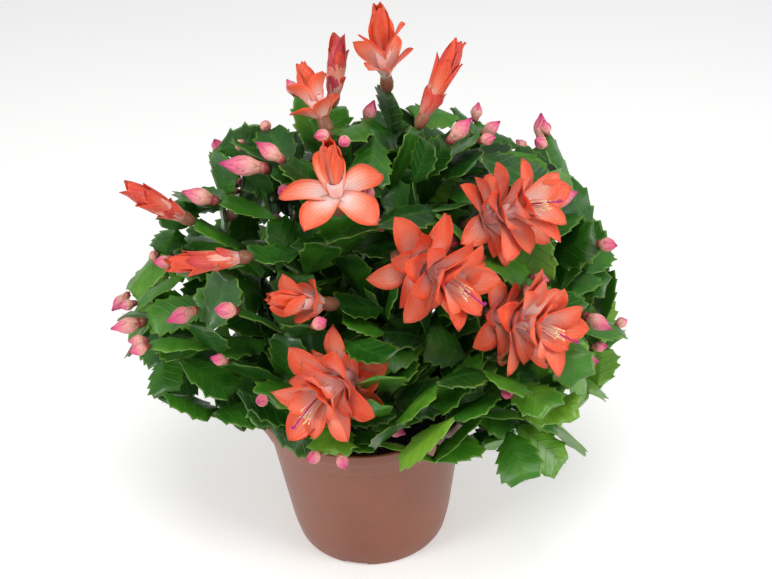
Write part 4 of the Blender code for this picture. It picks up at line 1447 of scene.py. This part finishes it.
def tube(work, place, along, normal, stations, sides, tone, first=0.0, last=0.2):
    """Closed round tube along a line from radii at given runs."""
    _, along_of, tone_of = numbered(work, "across", "along", "tone")
    steps = len(stations) + 1
    side = along.cross(normal)
    made = bmesh.ops.create_uvsphere(work, u_segments=sides, v_segments=steps,
                                     radius=1.0)["verts"]
    ends = ((stations[0][0] - 0.0003, 0.0), *stations, (stations[-1][0] + 0.0006, 0.0))
    for vert in made:
        row = round(math.acos(max(-1.0, min(1.0, -vert.co.z))) / math.pi * steps)
        turn = math.atan2(-vert.co.y, vert.co.x)
        run, radius = ends[row]
        vert[along_of] = first + (last - first) * row / steps
        vert[tone_of] = tone
        vert.co = (place + along * run + side * (radius * math.cos(turn))
                   + normal * (radius * math.sin(turn)))
    faces = list({face for vert in made for face in vert.link_faces})
    bmesh.ops.recalc_face_normals(work, faces=faces)


coral, shader, start = new_finish("petal_coral", Roughness=0.42, Subsurface_Weight=0.28,
                                  Subsurface_Scale=0.006, Sheen_Weight=0.10)
along = start.drawn("along")
across = abs(start.drawn("across"))
tone = start.drawn("tone")
cloud = start.grain(70.0, 4.0)
streak = start.sum("SINE", start.drawn("across") * 26.0) * 0.5 + 0.5
warm = along.ease(0.12, 1.0) * 0.62 + across ** 2.5 * 0.40 + (cloud - 0.5) * 0.40 - 0.04
warm = warm + 0.35 * (tone - 0.5) + 0.05 * streak
colour = start.node("ValToRGB", {"stops": (
    (0.0, (0.930, 0.610, 0.570)), (0.20, (0.910, 0.380, 0.300)),
    (0.42, (0.890, 0.185, 0.100)), (0.66, (0.860, 0.088, 0.024)),
    (1.0, (0.760, 0.042, 0.008)))}, {0: warm})
unripe = 0.85 * tone.ease(1.05, 1.45) * (1 - tone.ease(1.46, 1.5))
colour = unripe.blend(colour, along.blend((0.56, 0.070, 0.110), (0.46, 0.014, 0.050)))
colour = (0.75 * tone.ease(1.5, 1.8)).blend(colour, (0.60, 0.020, 0.140))
green = cloud.blend((0.10, 0.06, 0.02), (0.34, 0.10, 0.05))
colour = tone.ease(2.5, 2.8).blend(colour, green)
feed(shader, Base_Color=colour, Roughness=0.36 + 0.18 * cloud,
     Height=0.00012 * streak + 0.0005 * cloud)

cream, shader, start = new_finish("stamen_cream", Roughness=0.5, Subsurface_Weight=0.1,
                                  Subsurface_Scale=0.001)
tone = start.drawn("tone")
dusty = start.grain(900.0)
pollen = dusty.blend((0.86, 0.74, 0.34), (0.95, 0.88, 0.55))
style = dusty.blend((0.30, 0.006, 0.14), (0.46, 0.012, 0.24))
colour = tone.ease(0.3, 0.6).blend((0.90, 0.78, 0.66), pollen)
feed(shader, Base_Color=tone.ease(1.2, 1.5).blend(colour, style))


def stamens(work, mouth, axis, normal, reach, count):
    """A brush of filaments with anthers, round a longer style with a lobed end."""
    tone_of = numbered(work, "tone")[0]
    side = axis.cross(normal)
    sag = Vector((0, 0, -1))
    for i in range(count + 1):
        last = i == count
        a = petal_dice.uniform(0, 6.28)
        spread = 0.0 if last else petal_dice.uniform(0.05, 0.26)
        length = reach * (1.45 if last else petal_dice.uniform(0.70, 1.02))
        around = side * math.cos(a) + normal * math.sin(a)
        way = (axis + around * spread).normalized()
        line = [mouth - axis * 0.004]
        for k in range(1, 7):
            share = k / 6
            line.append(mouth + way * (length * share)
                        + sag * (0.22 * length * share * share)
                        + around * (0.0012 * (1 - share)))
        made = strand(work, line, 0.00042 if last else 0.00020, 6 if last else 4, 0.8)
        for vert in made:
            vert[tone_of] = STYLE_TONE if last else THREAD_TONE
        for k in range(6 if last else 1):
            head = bmesh.ops.create_icosphere(work, subdivisions=1,
                                              radius=0.00055)["verts"]
            tilt = heading(k * 60, 40) if last else way
            bmesh.ops.scale(work, verts=head, vec=(0.75, 0.75, 2.4 if last else 1.6))
            bmesh.ops.rotate(work, verts=head, cent=(0, 0, 0),
                             matrix=tilt.to_track_quat("Z", "Y").to_matrix())
            shift = tilt * 0.0008 if last else Vector()
            bmesh.ops.translate(work, verts=head, vec=line[-1] + shift)
            for vert in head:
                vert[tone_of] = STYLE_TONE if last else HEAD_TONE


for number, (kind, length, foot, way) in enumerate(FLOWERS):
    if kind == "closed":
        continue
    name = "flower_%02d" % (number + 1)
    place, along = Vector(foot), heading(*way)
    normal = square_to(along, Vector((0, 0, 1)))
    k = length / OPEN_LENGTH
    work = bmesh.new()
    tube(work, place - along * FOOT_SINK, along, normal, OPEN_FOOT, 12, FOOT_TONE)
    mouth = MOUTHS[kind] * k
    tube(work, place, along, normal,
         ((0.009, 0.0028), (0.014, 0.0031), (0.60 * mouth, 0.0034),
          (0.85 * mouth, 0.0039), (mouth, 0.0042)), 14, 0.35, 0.0, 0.15)
    tube(work, place, along, normal,
         ((mouth - 0.0003, 0.0040), (mouth + 0.0006, 0.0036)), 14, THROAT_TONE)
    for root, out, first, final, reach, half, tier in flower_tiers(kind, length, place,
                                                                   along, normal):
        tone = petal_dice.uniform(0.3, 0.8)
        fine_petal(work, root - along * 0.0006, along, out, first, final, reach * 1.04,
                   half * 1.28, petal_dice.uniform(0.20, 0.38), tone,
                   petal_dice.uniform(-0.6, 0.6))
        turn = petal_dice.uniform(0.45, 0.80) * (1.0 if tier else 1.2)
        if kind == "open":
            spare = petal_dice.uniform(0.72, 0.98)
            fine_petal(work, root + along * petal_dice.uniform(-0.002, 0.003), along,
                       Quaternion(along, turn) @ out, first * 0.85,
                       final * petal_dice.uniform(0.62, 0.95), reach * spare,
                       half * 1.15, petal_dice.uniform(0.25, 0.45),
                       petal_dice.uniform(0.2, 0.7), petal_dice.uniform(-0.4, 0.7))
    if kind != "open":
        run, reach, half = HOODS[kind]
        for i in range(HOOD_PETALS):
            a = 2 * math.pi * i / HOOD_PETALS + 0.4
            out = along.cross(normal) * math.cos(a) + normal * math.sin(a)
            fine_petal(work, place + along * (run * k) + out * 0.0022, along, out, 0.20,
                       -0.05, reach * k, half, 0.7, petal_dice.uniform(0.7, 1.0), -0.2)
    keep(work, name + "_petals", coral, "petal", name)
    if kind == "open":
        work = bmesh.new()
        stamens(work, place + along * mouth, along, normal, 0.0165 * k, STAMENS)
        keep(work, name + "_stamens", cream, "petal", name)


# ---------------------------------------------------------------- the long closed buds
# Flower buds about to open: long petals still wrapped round each other, their points
# just starting to part. Each grows from a tip, like the open flowers.
CLOSED_FOOT = (                 # run and radius along the foot
    (0.0, 0.0018), (0.002, 0.0030), (0.0045, 0.0036), (0.0070, 0.0034), (0.0085, 0.0030),
)
CLOSED_CORE = (                 # the same inside the petals, at the usual length
    (0.006, 0.0030), (0.012, 0.0044), (0.022, 0.0050), (0.032, 0.0036), (0.038, 0.0014),
)
WRAPS = (                       # run, petals, turn, leans from and to, length, half width
    (0.0050, 4, 0.0, 16, 12, 0.013, 0.0040), (0.0085, 4, 0.5, 14, 3, 0.024, 0.0048),
    (0.0120, 4, 0.2, 12, -6, 0.029, 0.0052),
)
WRAP_TONE, CRIMSON_TONE = 1.15, 1.45        # bloom_bud_02 is the deepest in colour

for number, (kind, length, foot, way) in enumerate(FLOWERS):
    if kind != "closed":
        continue
    name = "bloom_bud_%02d" % (number + 1)
    place, along = Vector(foot), heading(*way)
    normal = square_to(along, Vector((0, 0, 1)))
    side = along.cross(normal)
    k = length / CLOSED_LENGTH
    work = bmesh.new()
    tube(work, place - along * FOOT_SINK, along, normal, CLOSED_FOOT, 12, FOOT_TONE)
    tube(work, place, along, normal, [(run * k, radius) for run, radius in CLOSED_CORE],
         12, 0.7, 0.2, 0.9)
    deep = CRIMSON_TONE if name == "bloom_bud_02" else WRAP_TONE
    for run, count, offset, lean, spread, reach, half in WRAPS:
        for i in range(count):
            a = 2 * math.pi * (i + offset + petal_dice.uniform(-0.08, 0.08)) / count
            out = side * math.cos(a) + normal * math.sin(a)
            fine_petal(work, place + along * (run * k) + out * 0.0026, along, out,
                       math.radians(lean),
                       math.radians(spread + petal_dice.uniform(-3, 4)), reach * k, half,
                       0.62, deep + petal_dice.uniform(-0.1, 0.1), 0.25)
    keep(work, name + "_petals", coral, "bud", name)
